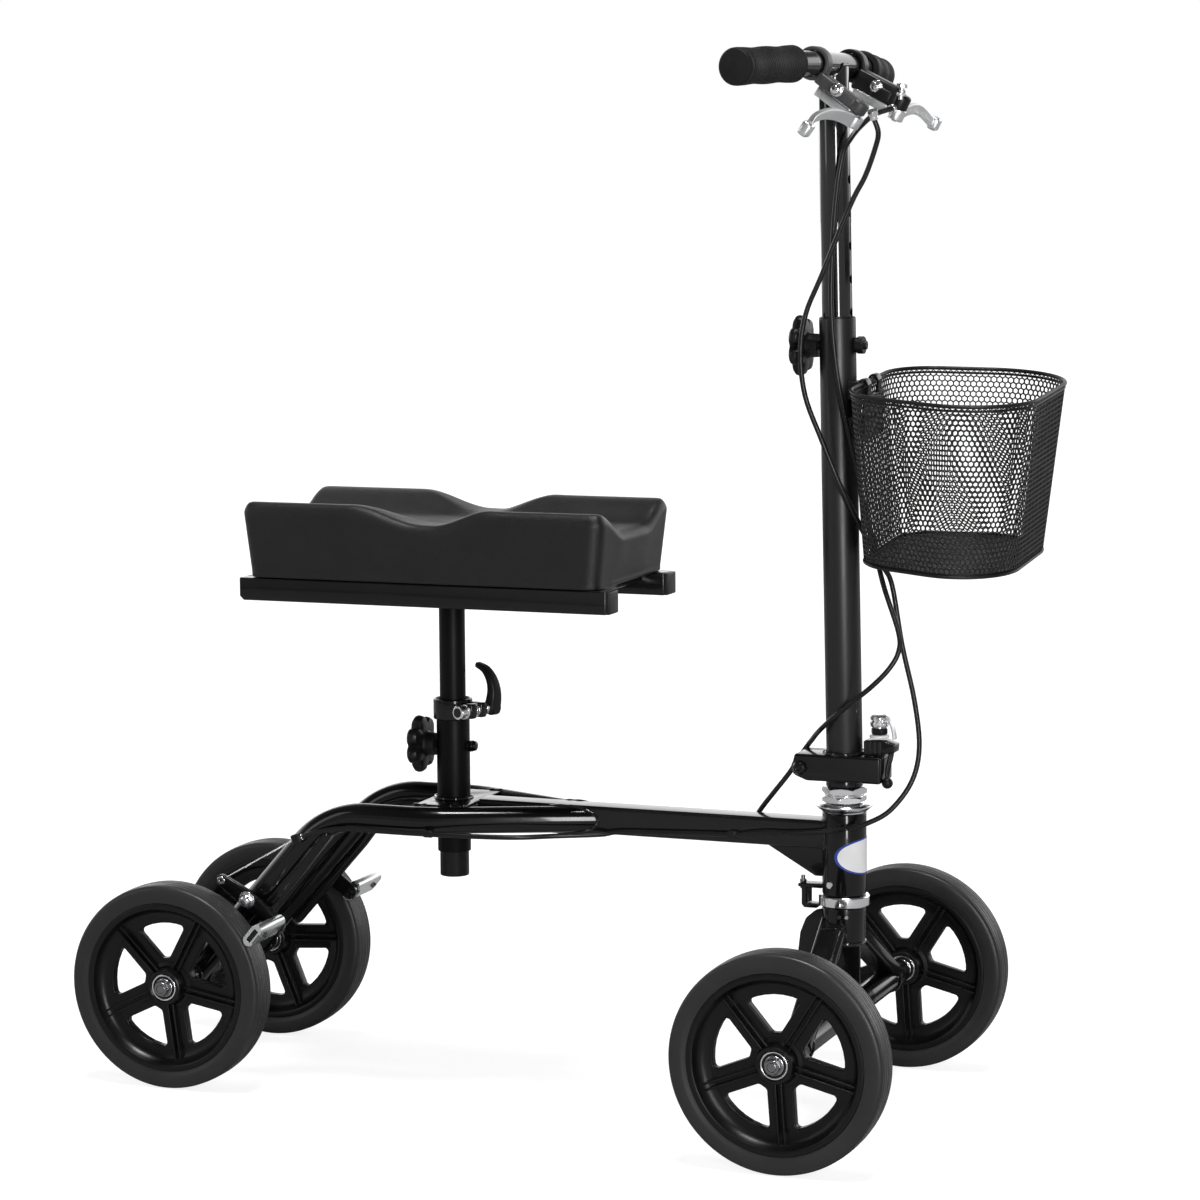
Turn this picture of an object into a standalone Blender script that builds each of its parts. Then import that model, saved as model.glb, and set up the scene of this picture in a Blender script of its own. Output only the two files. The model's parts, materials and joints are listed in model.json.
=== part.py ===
"""Knee scooter: a four-wheeled walking aid with a padded shin rest and a folding steering column.

Metres. +X is forward, +Y is the rider's left, +Z is up. The dimensions below are measured from
the floor under the rear axle; the last step puts the origin below the middle of the whole scooter.
"""
import math

import bmesh
import bpy
from mathutils import Matrix, Vector

# ---------------------------------------------------------------- driving dimensions
GAP = 0.0003                    # clearance between neighbouring pieces

WHEEL_RADIUS = 0.100
TREAD_HALF = 0.0175             # half the tyre's width
RIM_RADIUS = 0.082
WINDOW_INNER = 0.030
WINDOW_OUTER = 0.064
WINDOW_HALF_DEG = 25
HUB_HALF = 0.0170
HUB_RADIUS = 0.0165
SPOKES = 5
REAR_TRACK = 0.230
FRONT_TRACK = 0.400
STEER_X = 0.644                 # steering axis
AXLE_X = STEER_X + 0.0025       # front axle, a little ahead of it
AXLE_RADIUS = 0.005
WHEEL_STEPS = 30

BEAM_HALF = 0.014
BEAM_BOTTOM = 0.2545
BEAM_TOP = 0.2808
BEAM_REAR = 0.2812
BEAM_WALL = 0.002
HEAD_RADIUS = 0.0205
HEAD_BOTTOM = 0.2115
HEAD_TOP = 0.2885
STEERER_RADIUS = 0.0125

SIDE_RADIUS = 0.0127
SIDE_Y = 0.064
SIDE_Z = 0.267
SIDE_BEND_X = 0.1465
SIDE_BEND = 0.085
STRUT_RADIUS = 0.006
REAR_TUBE_RADIUS = 0.011

SEAT_X = 0.250
SEAT_TUBE_RADIUS = 0.016
SEAT_TUBE_BOTTOM = 0.2270
SEAT_TUBE_TOP = 0.3745
POST_RADIUS = 0.0125
SEAT_KNOB_Z = 0.330
CLAMP_Z = 0.366
CLAMP_TURN = math.radians(-21.35)
CLAMP_OUT = 0.0262              # distance of the clamp bolt from the post's axis

PAD_X = (0.0715, 0.4405)
PAD_HALF = 0.0935
PAD_BOTTOM = 0.4966
PAD_TOP = 0.5700
RAIL_X = (0.0685, 0.4465)
RAIL_Y = (0.066, 0.090)
RAIL_BOTTOM = 0.4745

FOLD_PIVOT = Vector((0.607, 0, 0.331))
CHANNEL_X = (0.598, 0.684)
CHANNEL_Y = (0.0172, 0.0202)
CHANNEL_TOP = 0.3436
LATCH_PIVOT = Vector((0.6900, 0, 0.3510))

COLUMN_LEAN = math.radians(-1.1)
COLUMN_FOOT = Vector((STEER_X, 0, CHANNEL_TOP))
COLUMN_RADIUS = 0.0168
COLUMN_LENGTH = 0.4015
STEM_RADIUS = 0.0140
STEM_KNOB_Z = 0.3765            # heights along the column, from its foot
STEM_BOTTOM = 0.256
STEM_HOLES = [STEM_KNOB_Z + 0.030 * step for step in range(-1, 6)]

BAR_CENTRE = Vector((0.6318, 0, 0.9735))
BAR_RADIUS = 0.0111
BAR_HALF = 0.215
GRIP_RADIUS = 0.0165
GRIP_LENGTH = 0.112
PERCH_Y = 0.055
PERCH_ANGLES = {"right": 36.4, "left": 27.0}    # how far each brake perch slopes down
LEVER_REACH = 0.0590                # from the bar's centre to the lever's pivot
LEVER_DROP = 0.0195

BRAKE_PIVOT = Vector((0.068, 0, 0.182))
BRAKE_END = Vector((0.040, 0, 0.199))
SHOE = Vector((0.0990, 0, 0.1595))
SHOE_TURN = math.radians(50)
ARM_Y = (0.0795, 0.0845)
SHOE_Y = (0.0855, 0.1375)

BASKET_BACK = (0.6670, 0.090)       # x and half width of the rim's back edge
BASKET_FRONT = (0.8360, 0.130)
BASKET_CORNERS = (0.052, 0.078)
BASKET_RIM_Z = 0.6845
BASKET_FLOOR_Z = 0.5290
BASKET_TAPER = (0.83, 0.89)          # its floor against its rim, along X and Y
BASKET_ROLL = math.radians(4.7)
BASKET_PITCH = math.radians(2.7)
BASKET_WALL = 0.0025

CABLE_RADIUS = 0.0024
ORIGIN = Vector((0.3680, 0, 0.00055))   # the middle of the bounding box, at the tyres' flats
LEFT_CABLE = [(0.6745, 0.0430, 0.9340), (0.6660, 0.0200, 0.9290), (0.6600, 0.0040, 0.9210),
              (0.6530, -0.0120, 0.9080), (0.6470, -0.0210, 0.8900), (0.6410, -0.0240, 0.8400),
              (0.6380, -0.0245, 0.7620), (0.6440, -0.0245, 0.6940), (0.6590, -0.0200, 0.6170),
              (0.6655, -0.0060, 0.5660), (0.6695, 0.0110, 0.5340), (0.6742, 0.0085, 0.5160),
              (0.6818, 0.0010, 0.4970), (0.6966, -0.0040, 0.4583), (0.6980, -0.0095, 0.4410),
              (0.6901, -0.0150, 0.4253), (0.6750, -0.0200, 0.4090), (0.6539, -0.0218, 0.3916),
              (0.6315, -0.0200, 0.3721), (0.6165, 0.0010, 0.3598), (0.6080, 0.0150, 0.3520),
              (0.6010, 0.0235, 0.3450), (0.5935, 0.0245, 0.3345), (0.5829, 0.0235, 0.3178),
              (0.5712, 0.0200, 0.3020), (0.5597, 0.0188, 0.2872), (0.5525, 0.0180, 0.2764),
              (0.5470, 0.0178, 0.2655)]
RIGHT_CABLE = [(0.6835, -0.0430, 0.9240), (0.6865, -0.0400, 0.9120), (0.6830, -0.0370, 0.8990),
               (0.6730, -0.0345, 0.8740), (0.6590, -0.0340, 0.8480), (0.6320, -0.0340, 0.7850),
               (0.6170, -0.0340, 0.7500), (0.6120, -0.0340, 0.7150), (0.6160, -0.0330, 0.6760),
               (0.6310, -0.0310, 0.6360), (0.6470, -0.0260, 0.5950), (0.6600, -0.0140, 0.5620),
               (0.6685, 0.0020, 0.5350), (0.6802, 0.0052, 0.5160), (0.6862, 0.0110, 0.4985),
               (0.6960, 0.0100, 0.4450), (0.7084, 0.0080, 0.3945), (0.7144, 0.0040, 0.3521),
               (0.7096, -0.0040, 0.3210), (0.6923, -0.0140, 0.2951), (0.6731, -0.0210, 0.2832),
               (0.6588, -0.0245, 0.2792), (0.6454, -0.0245, 0.2758), (0.6302, -0.0222, 0.2727),
               (0.6127, -0.0190, 0.2703), (0.5919, -0.0178, 0.2686), (0.5675, -0.0178, 0.2676),
               (0.5450, -0.0178, 0.2636)]
LOWER_CABLE = [(0.5435, 0.0178, 0.2635), (0.5000, 0.0178, 0.2620), (0.4300, 0.0180, 0.2590),
               (0.4100, 0.0215, 0.2560), (0.3720, 0.0400, 0.2555), (0.3330, 0.0640, 0.2560),
               (0.2630, 0.0765, 0.2565), (0.2000, 0.0775, 0.2565), (0.1650, 0.0785, 0.2565),
               (0.1400, 0.0805, 0.2515), (0.1180, 0.0820, 0.2435)]

# ---------------------------------------------------------------- scene and materials
for old in list(bpy.data.objects):
    bpy.data.objects.remove(old, do_unlink=True)

PARTS = bpy.data.collections.new("knee_scooter")
CUTTERS = bpy.data.collections.new("cutters")
GUIDES = bpy.data.collections.new("joint_empties")
for group in (PARTS, CUTTERS, GUIDES):
    bpy.context.scene.collection.children.link(group)


def material(name, colour, roughness, metallic):
    made = bpy.data.materials.new(name)
    made.use_nodes = True
    shader = made.node_tree.nodes["Principled BSDF"]
    shader.inputs["Base Color"].default_value = (*colour, 1)
    shader.inputs["Roughness"].default_value = roughness
    shader.inputs["Metallic"].default_value = metallic
    return made


PAINT = material("gloss_black_paint", (0.010, 0.010, 0.011), 0.18, 0.0)
PLASTIC = material("black_plastic", (0.018, 0.018, 0.019), 0.45, 0.0)
RUBBER = material("black_rubber", (0.022, 0.022, 0.022), 0.70, 0.0)
PAD = material("moulded_pad", (0.016, 0.016, 0.017), 0.60, 0.0)
CHROME = material("chrome", (0.80, 0.80, 0.82), 0.10, 1.0)
ALUMINIUM = material("cast_aluminium", (0.72, 0.73, 0.74), 0.30, 1.0)
MESH_BLACK = material("black_coated_mesh", (0.014, 0.014, 0.015), 0.50, 0.0)


# ---------------------------------------------------------------- shape helpers
def place(mesh, name, look, at=(0, 0, 0), turn=(0, 0, 0), parent=None):
    """Put a mesh in the scene as a part, or as a cutter when it has no look."""
    made = bpy.data.objects.new(name, mesh)
    made.matrix_world = Matrix.LocRotScale(Vector(at), as_rotation(turn), None)
    if look is None:
        CUTTERS.objects.link(made)
        made.hide_render = True
        made.display_type = "WIRE"
        return made
    PARTS.objects.link(made)
    mesh.materials.clear()
    mesh.materials.append(look)
    if parent:
        made.parent = parent
        made.matrix_parent_inverse = parent.matrix_world.inverted()
    return made


def as_rotation(turn):
    """A quaternion from a quaternion, or from angles about X, then Y, then Z."""
    if hasattr(turn, "to_matrix"):
        return turn
    about_x, about_y, about_z = (Matrix.Rotation(angle, 3, axis) for angle, axis in zip(turn, "XYZ"))
    return (about_z @ about_y @ about_x).to_quaternion()


def empty(name, at, parent=None):
    """A joint's centre, which the moving pieces hang from."""
    made = bpy.data.objects.new(name, None)
    made.empty_display_size = 0.02
    made.matrix_world = Matrix.Translation(Vector(at))
    GUIDES.objects.link(made)
    if parent:
        made.parent = parent
        made.matrix_parent_inverse = parent.matrix_world.inverted()
    return made


def box_mesh(low, high):
    low, high = Vector(low), Vector(high)
    work = bmesh.new()
    bmesh.ops.create_cube(work, size=1)
    bmesh.ops.scale(work, vec=high - low, verts=work.verts)
    bmesh.ops.translate(work, vec=(low + high) / 2, verts=work.verts)
    return _to_mesh(work)


def rod_mesh(start, end, radius, steps=16):
    start, end = Vector(start), Vector(end)
    work = bmesh.new()
    bmesh.ops.create_cone(work, cap_ends=True, segments=steps, radius1=radius, radius2=radius,
                          depth=(end - start).length)
    turn = (end - start).to_track_quat("Z", "Y").to_matrix().to_4x4()
    bmesh.ops.transform(work, matrix=Matrix.Translation((start + end) / 2) @ turn, verts=work.verts)
    return _to_mesh(work)


def _to_mesh(work):
    mesh = bpy.data.meshes.new("shape")
    work.to_mesh(mesh)
    work.free()
    return mesh


def turned(name, profile, look, at=(0, 0, 0), turn=(0, 0, 0), steps=20, parent=None):
    """A closed (radius, height) outline, outer side first and downwards, swept round its Z axis."""
    mesh = bpy.data.meshes.new(name)
    count = len(profile)
    solid = abs(profile[0][0]) < 1e-6
    edges = [(i, (i + 1) % count) for i in range(count - 1 if solid else count)]
    mesh.from_pydata([(r, 0, z) for r, z in profile], edges, [])
    made = place(mesh, name, look, at, turn, parent)
    screw = made.modifiers.new("turn", "SCREW")
    screw.steps = steps
    screw.render_steps = steps
    screw.use_merge_vertices = True
    screw.merge_threshold = 0.00001
    screw.use_smooth_shade = True
    return made


def ring(name, outer, inner, low, high, look, at=(0, 0, 0), turn=(0, 0, 0), steps=20, parent=None):
    """A plain tube or ring."""
    profile = [(outer, high), (outer, low), (inner, low), (inner, high)]
    return turned(name, profile, look, at, turn, steps, parent)


def _curve_to_mesh(made):
    """The mesh of a curve object, with its caps welded."""
    bpy.context.scene.collection.objects.link(made)
    bpy.context.view_layer.update()
    mesh = bpy.data.meshes.new_from_object(made.evaluated_get(bpy.context.evaluated_depsgraph_get()))
    work = bmesh.new()
    work.from_mesh(mesh)
    bmesh.ops.remove_doubles(work, verts=work.verts, dist=0.00001)
    work.to_mesh(mesh)
    work.free()
    bpy.data.objects.remove(made, do_unlink=True)
    return mesh


def pipe_mesh(points, radius, rings=2):
    """A round bar along a line of points."""
    curve = bpy.data.curves.new("pipe", "CURVE")
    curve.dimensions = "3D"
    curve.bevel_depth = radius
    curve.bevel_resolution = rings
    curve.use_fill_caps = True
    spline = curve.splines.new("POLY")
    spline.points.add(len(points) - 1)
    for node, point in zip(spline.points, points):
        node.co = (*point, 1)
    return _curve_to_mesh(bpy.data.objects.new("pipe", curve))


def plate_mesh(outlines, thickness):
    """A flat plate in XY from closed outlines; the ones after the first are holes."""
    curve = bpy.data.curves.new("plate", "CURVE")
    curve.dimensions = "2D"
    curve.fill_mode = "BOTH"
    curve.extrude = thickness / 2
    for outline in outlines:
        spline = curve.splines.new("POLY")
        spline.points.add(len(outline) - 1)
        for node, point in zip(spline.points, outline):
            node.co = (point[0], point[1], 0, 1)
        spline.use_cyclic_u = True
    return _curve_to_mesh(bpy.data.objects.new("plate", curve))


def side_plate_mesh(outlines, thickness, y=0.0):
    """The same with the outlines in XZ, centred on a Y."""
    mesh = plate_mesh(outlines, thickness)
    mesh.transform(Matrix.Translation((0, y, 0)) @ Matrix.Rotation(math.pi / 2, 4, "X"))
    return mesh


def arc(centre, radius, start, end, steps):
    """Points round a circle, in degrees."""
    angles = [math.radians(start + (end - start) * i / steps) for i in range(steps + 1)]
    return [(centre[0] + radius * math.cos(a), centre[1] + radius * math.sin(a)) for a in angles]


def circle(centre, radius, steps=12):
    return arc(centre, radius, 0, 360 * (steps - 1) / steps, steps - 1)


def stadium(start, end, r_start, r_end, steps=5):
    """The outline round two circles of unlike size, both ends round."""
    heading = math.degrees(math.atan2(end[1] - start[1], end[0] - start[0]))
    return arc(end, r_end, heading - 85, heading + 85, steps) \
        + arc(start, r_start, heading + 95, heading + 265, steps)


def filleted(points, radius, steps=4):
    """A line of points with its inner corners rounded to arcs."""
    points = [Vector(p) for p in points]
    path = [points[0]]
    for before, corner, after in zip(points, points[1:], points[2:]):
        back, ahead = (before - corner).normalized(), (after - corner).normalized()
        half = back.angle(ahead) / 2
        reach = radius / math.tan(half)
        middle = corner + (back + ahead).normalized() * (radius / math.sin(half))
        start, end = corner + back * reach - middle, corner + ahead * reach - middle
        path += [middle + start.slerp(end, i / steps).normalized() * radius for i in range(steps + 1)]
    return path + [points[-1]]


def smooth(points, steps=4):
    """A Catmull-Rom curve through the points, for a hanging cable."""
    points = [Vector(p) for p in points]
    ends = [points[0] * 2 - points[1]] + points + [points[-1] * 2 - points[-2]]
    path = []
    for a, b, c, d in zip(ends, ends[1:], ends[2:], ends[3:]):
        for i in range(steps):
            t = i / steps
            path.append(0.5 * (2 * b + (c - a) * t + (2 * a - 5 * b + 4 * c - d) * t * t
                               + (3 * b - a - 3 * c + d) * t ** 3))
    return path + [points[-1]]


def combine(made, operation, meshes):
    """Join or cut an object with other shapes given in world coordinates."""
    for index, mesh in enumerate(meshes):
        tool = place(mesh, f"{made.name}_{operation.lower()}_{index}", None)
        step = made.modifiers.new(operation.lower(), "BOOLEAN")
        step.operation = operation
        step.object = tool
        step.solver = "EXACT"
    return made


def cut(made, *meshes):
    return combine(made, "DIFFERENCE", meshes)


def join(made, *meshes):
    return combine(made, "UNION", meshes)


def up_column(x, y, height):
    """A place on the leaning column, from its own foot."""
    return COLUMN_FOOT + Matrix.Rotation(COLUMN_LEAN, 3, "Y") @ Vector((x, y, height))


# ---------------------------------------------------------------- wheels
def wheel(corner, x, y, phase, parent):
    """A solid tyre on a five-spoke dished rim that turns on a plain axle."""
    hub = empty(f"{corner}_wheel_centre", (x, y, WHEEL_RADIUS), parent)
    lying = (math.pi / 2, 0, 0)
    shoulder = TREAD_HALF - 0.0015
    tyre = [(0.0880, TREAD_HALF - 0.0003), (0.0955, shoulder), (0.0990, 0.0125), (WHEEL_RADIUS, 0.0080)]
    tyre += [(r, -z) for r, z in reversed(tyre)]
    tyre += [(RIM_RADIUS + GAP, -0.0155), (RIM_RADIUS + GAP, 0.0155)]
    turned(f"{corner}_tyre", tyre, RUBBER, (x, y, WHEEL_RADIUS), lying, WHEEL_STEPS, hub)
    web = 0.0045
    half = [(RIM_RADIUS, 0.0150), (0.0765, 0.0150), (0.0740, web), (HUB_RADIUS + 0.001, web),
            (HUB_RADIUS, HUB_HALF), (AXLE_RADIUS + GAP, HUB_HALF)]
    profile = [(r, -z) for r, z in half] + [(r, z) for r, z in reversed(half)]
    rim = turned(f"{corner}_rim", profile, PLASTIC, (x, y, WHEEL_RADIUS), lying, WHEEL_STEPS, hub)
    windows = []
    for spoke in range(SPOKES):
        middle = phase + 360 / SPOKES * (spoke + 0.5)
        outer = arc((0, 0), WINDOW_OUTER, middle - WINDOW_HALF_DEG, middle + WINDOW_HALF_DEG, 4)
        inner = arc((0, 0), WINDOW_INNER, middle + 9, middle - 9, 1)
        windows.append([(x + px, WHEEL_RADIUS + pz) for px, pz in outer + inner])
    cut(rim, *[side_plate_mesh([window], 0.020, y) for window in windows])


def axle(name, x, track, look, parent):
    """A through bolt with a nut outside each wheel and a shoulder inside it."""
    out = track / 2 + HUB_HALF + 0.0005
    inside = track / 2 - HUB_HALF - 0.0005
    half = [(0.0, out + 0.0090), (0.0050, out + 0.0090), (0.0080, out + 0.0055), (0.0080, out),
            (AXLE_RADIUS, out), (AXLE_RADIUS, inside), (0.0080, inside),
            (0.0080, inside - 0.0045), (AXLE_RADIUS, inside - 0.0045)]
    profile = half + [(r, -z) for r, z in reversed(half)]
    return turned(name, profile, look, (x, 0, WHEEL_RADIUS), (math.pi / 2, 0, 0), 12, parent)


# ---------------------------------------------------------------- frame
def main_beam(parent):
    beam = place(box_mesh((BEAM_REAR, -BEAM_HALF, BEAM_BOTTOM), (STEER_X, BEAM_HALF, BEAM_TOP)),
                 "main_beam", PAINT, parent=parent)
    gusset = [(0.578, 0.260), (0.578, 0.2555), (0.6180, 0.2275), (STEER_X, 0.2275), (STEER_X, 0.260)]
    join(beam, side_plate_mesh([gusset], 0.016))
    cut(beam,
        box_mesh((BEAM_REAR - 0.01, -BEAM_HALF + BEAM_WALL, BEAM_BOTTOM + BEAM_WALL),
                 (0.600, BEAM_HALF - BEAM_WALL, BEAM_TOP - BEAM_WALL)),
        rod_mesh((STEER_X, 0, 0.20), (STEER_X, 0, 0.30), HEAD_RADIUS + 2 * GAP, 20))


def head_set(parent):
    """Head tube, its two cups and the steering stop's bracket behind it."""
    at = (STEER_X, 0, 0)
    ring("head_tube", HEAD_RADIUS, 0.0165, HEAD_BOTTOM, HEAD_TOP, PAINT, at, parent=parent)
    bore = STEERER_RADIUS + 0.0010
    turned("upper_headset_cup", [(0.0215, 0.2975), (0.0250, 0.2968), (0.0258, 0.2950), (0.0245, 0.2928),
                                 (0.0215, 0.2902), (0.0205, 0.2888), (bore, 0.2888), (bore, 0.2975)],
           CHROME, at, parent=parent)
    turned("lower_headset_cup", [(0.0225, 0.2112), (0.0235, 0.2102), (0.0235, 0.2016), (0.0225, 0.2008),
                                 (bore, 0.2008), (bore, 0.2112)], CHROME, at, parent=parent)
    bracket = [(0.6228, 0.2195), (0.6010, 0.2195), (0.6010, 0.2165), (0.6045, 0.2160), (0.6045, 0.1998),
               (0.6070, 0.1968), (0.6198, 0.1968), (0.6198, 0.2005), (0.6105, 0.2005), (0.6105, 0.2160),
               (0.6228, 0.2160)]
    place(side_plate_mesh([bracket], 0.014), "steering_stop_bracket", PAINT, parent=parent)


def side_line(sign):
    return filleted([(0.403, sign * 0.001, SIDE_Z), (0.2494, sign * SIDE_Y, SIDE_Z),
                     (SIDE_BEND_X, sign * SIDE_Y, SIDE_Z), (-0.001, sign * SIDE_Y, WHEEL_RADIUS)], SIDE_BEND)


def side_tube(side, sign, parent):
    """A tube that leaves the beam's side, bows round the seat tube and drops to the rear axle."""
    tube = place(pipe_mesh(side_line(sign), SIDE_RADIUS, 4), f"side_tube_{side}", PAINT, parent=parent)
    strut = [(0.1455, sign * 0.0700, 0.2480), (0.119, sign * 0.0705, 0.214), (0.046, sign * 0.0705, 0.1315)]
    join(tube, pipe_mesh(strut, STRUT_RADIUS, 2))
    cut(tube,
        box_mesh((0.20, -BEAM_HALF - GAP, 0.24), (0.50, BEAM_HALF + GAP, 0.30)),
        rod_mesh((0, -0.12, WHEEL_RADIUS), (0, 0.12, WHEEL_RADIUS), REAR_TUBE_RADIUS + 2 * GAP, 16))


def rear_axle_tube(parent):
    ring("rear_axle_tube", REAR_TUBE_RADIUS, AXLE_RADIUS + 0.0010, -0.0925, 0.0925, PAINT,
         (0, 0, WHEEL_RADIUS), (math.pi / 2, 0, 0), 16, parent)


def seat_tube_set(parent):
    """Seat tube through the frame's plate, with its nylon bush, height bolt's nut and clamp."""
    at = (SEAT_X, 0, 0)
    bolt_way = rod_mesh((SEAT_X - 0.03, 0, SEAT_KNOB_Z), (SEAT_X + 0.03, 0, SEAT_KNOB_Z), 0.0045, 12)
    tube = ring("seat_tube", SEAT_TUBE_RADIUS, 0.0143, SEAT_TUBE_BOTTOM, SEAT_TUBE_TOP, PAINT, at,
                parent=parent)
    cut(tube, bolt_way.copy())
    bush = ring("seat_tube_bush", 0.0140, POST_RADIUS + GAP, 0.2030, 0.3700, PLASTIC, at, parent=parent)
    cut(bush, bolt_way)
    outline = [(0.230, -0.0465), (0.2805, -0.0465), (0.2805, 0.0465), (0.230, 0.0465)]
    deck = place(plate_mesh([outline, circle((SEAT_X, 0), SEAT_TUBE_RADIUS + 2 * GAP, 20)], 0.003),
                 "seat_tube_plate", PAINT, (0, 0, 0.2775), parent=parent)
    cut(deck, *[pipe_mesh(side_line(sign), SIDE_RADIUS + GAP, 4) for sign in (-1, 1)])
    turned("seat_knob_nut", [(0.0, 0.0120), (0.0035, 0.0112), (0.0058, 0.0085), (0.0062, 0.0),
                             (0.0, 0.0)], PAINT,
           (SEAT_X + SEAT_TUBE_RADIUS + GAP, 0, SEAT_KNOB_Z), (0, math.pi / 2, 0), 12, parent)
    spin = Matrix.Translation((SEAT_X, 0, CLAMP_Z)) @ Matrix.Rotation(CLAMP_TURN, 4, "Z")
    collar = ring("seat_clamp_collar", 0.0185, SEAT_TUBE_RADIUS + GAP, CLAMP_Z - 0.0095, CLAMP_Z + 0.0095,
                  PAINT, at, parent=parent)
    lug = box_mesh((0.0175, -0.0080, -0.0070), (CLAMP_OUT + 0.006, 0.0140, 0.0070))
    lug.transform(spin)
    join(collar, lug)
    bore = rod_mesh((CLAMP_OUT, -0.02, 0), (CLAMP_OUT, 0.02, 0), 0.0031, 10)
    bore.transform(spin)
    cut(collar, bore)
    bolt = turned("seat_clamp_bolt", [(0.0, 0.0195), (0.0052, 0.0195), (0.0060, 0.0145), (0.0026, 0.0145),
                                      (0.0026, -0.0085), (0.0058, -0.0085), (0.0058, -0.0170),
                                      (0.0, -0.0170)], CHROME, (0, 0, 0), (-math.pi / 2, 0, 0), 10)
    bolt.matrix_world = spin @ Matrix.Translation((CLAMP_OUT, 0, 0)) \
        @ Matrix.Rotation(-math.pi / 2, 4, "X")
    bolt.parent = parent
    bolt.matrix_parent_inverse = parent.matrix_world.inverted()
    return spin


def seat_clamp_lever(spin, parent):
    """The quick-release lever, which stands upright when it is shut."""
    centre = spin @ Vector((CLAMP_OUT, 0.0270, 0))
    pivot = empty("seat_clamp_pivot", centre, parent)
    base = rod_mesh((CLAMP_OUT - 0.0065, 0.0270, 0), (CLAMP_OUT + 0.0065, 0.0270, 0), 0.0065, 12)
    base.transform(spin)
    lever = place(base, "seat_clamp_lever", PLASTIC, parent=pivot)
    path = smooth([(CLAMP_OUT - 0.0005, 0.0270, 0.002), (CLAMP_OUT + 0.0015, 0.0275, 0.014),
                   (CLAMP_OUT - 0.0010, 0.0275, 0.027), (CLAMP_OUT - 0.0090, 0.0270, 0.037),
                   (CLAMP_OUT - 0.0175, 0.0265, 0.040)], 2)
    blade = pipe_mesh(path, 0.0042, 1)
    blade.transform(spin)
    join(lever, blade)


def lobed_knob(name, at, look, parent, stub):
    """A seven-lobed hand knob on a short screw; it points to -X."""
    pivot = empty(f"{name}_axis", at, parent)
    lobes = 7
    outline = []
    for step in range(lobes * 4):
        angle = 2 * math.pi * step / (lobes * 4)
        radius = 0.0245 + 0.0020 * math.cos(lobes * angle)
        outline.append((radius * math.cos(angle), radius * math.sin(angle)))
    mesh = plate_mesh([outline], 0.013)
    mesh.transform(Matrix.Translation(Vector(at) - Vector((0.0175, 0, 0)))
                   @ Matrix.Rotation(math.pi / 2, 4, "Y"))
    knob = place(mesh, name, look, parent=pivot)
    start = Vector(at)
    join(knob, rod_mesh(start + Vector((-0.014, 0, 0)), start + Vector((-0.0006, 0, 0)), 0.0100, 12),
         rod_mesh(start + Vector((-0.002, 0, 0)), start + Vector((stub, 0, 0)), 0.0040, 12))


# ---------------------------------------------------------------- seat
def seat(parent):
    """Post, rail frame and moulded shin pad."""
    post = ring("seat_post", POST_RADIUS, 0.0105, 0.2050, 0.4905, PAINT, (SEAT_X, 0, 0), parent=parent)
    join(post, box_mesh((0.200, -RAIL_Y[0] + GAP, 0.4900), (0.300, RAIL_Y[0] - GAP, 0.4962)))
    chamfer = 0.004
    low, high = RAIL_BOTTOM, 0.4962
    rail = [(RAIL_X[0], high), (RAIL_X[0], low + chamfer), (RAIL_X[0] + chamfer, low),
            (RAIL_X[1] - 0.001, low), (RAIL_X[1], low + 0.001), (RAIL_X[1] - chamfer, high)]
    for side, sign in (("right", -1), ("left", 1)):
        mesh = side_plate_mesh([rail], RAIL_Y[1] - RAIL_Y[0], sign * sum(RAIL_Y) / 2)
        place(mesh, f"seat_rail_{side}", PAINT, parent=parent)
    place(pad_mesh(), "knee_pad", PAD, parent=parent)


def pad_height(x, y):
    """The pad's top: a long trough between raised sides, which dip in the middle."""
    along = (x - PAD_X[0]) / (PAD_X[1] - PAD_X[0])
    dip = 0.018 * math.exp(-((along - 0.515) / 0.10) ** 2)
    trough = 0.022 * math.exp(-(y / 0.050) ** 2)
    return PAD_TOP - max(dip, trough)


def pad_mesh():
    work = bmesh.new()
    bmesh.ops.create_grid(work, x_segments=12, y_segments=8, size=0.5)
    length, inset = PAD_X[1] - PAD_X[0], 0.004
    for vert in work.verts:
        x = PAD_X[0] + length * (vert.co.x + 0.5)
        y = 2 * PAD_HALF * vert.co.y
        vert.co = (x, y, pad_height(x, y))
    side = bmesh.ops.extrude_face_region(work, geom=work.faces[:])
    for vert in [item for item in side["geom"] if isinstance(item, bmesh.types.BMVert)]:
        vert.co.z = PAD_BOTTOM
        vert.co.x += inset if vert.co.x < PAD_X[0] + 0.001 else 0
        vert.co.x -= inset if vert.co.x > PAD_X[1] - 0.001 else 0
    bmesh.ops.recalc_face_normals(work, faces=work.faces)
    return _to_mesh(work)


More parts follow.
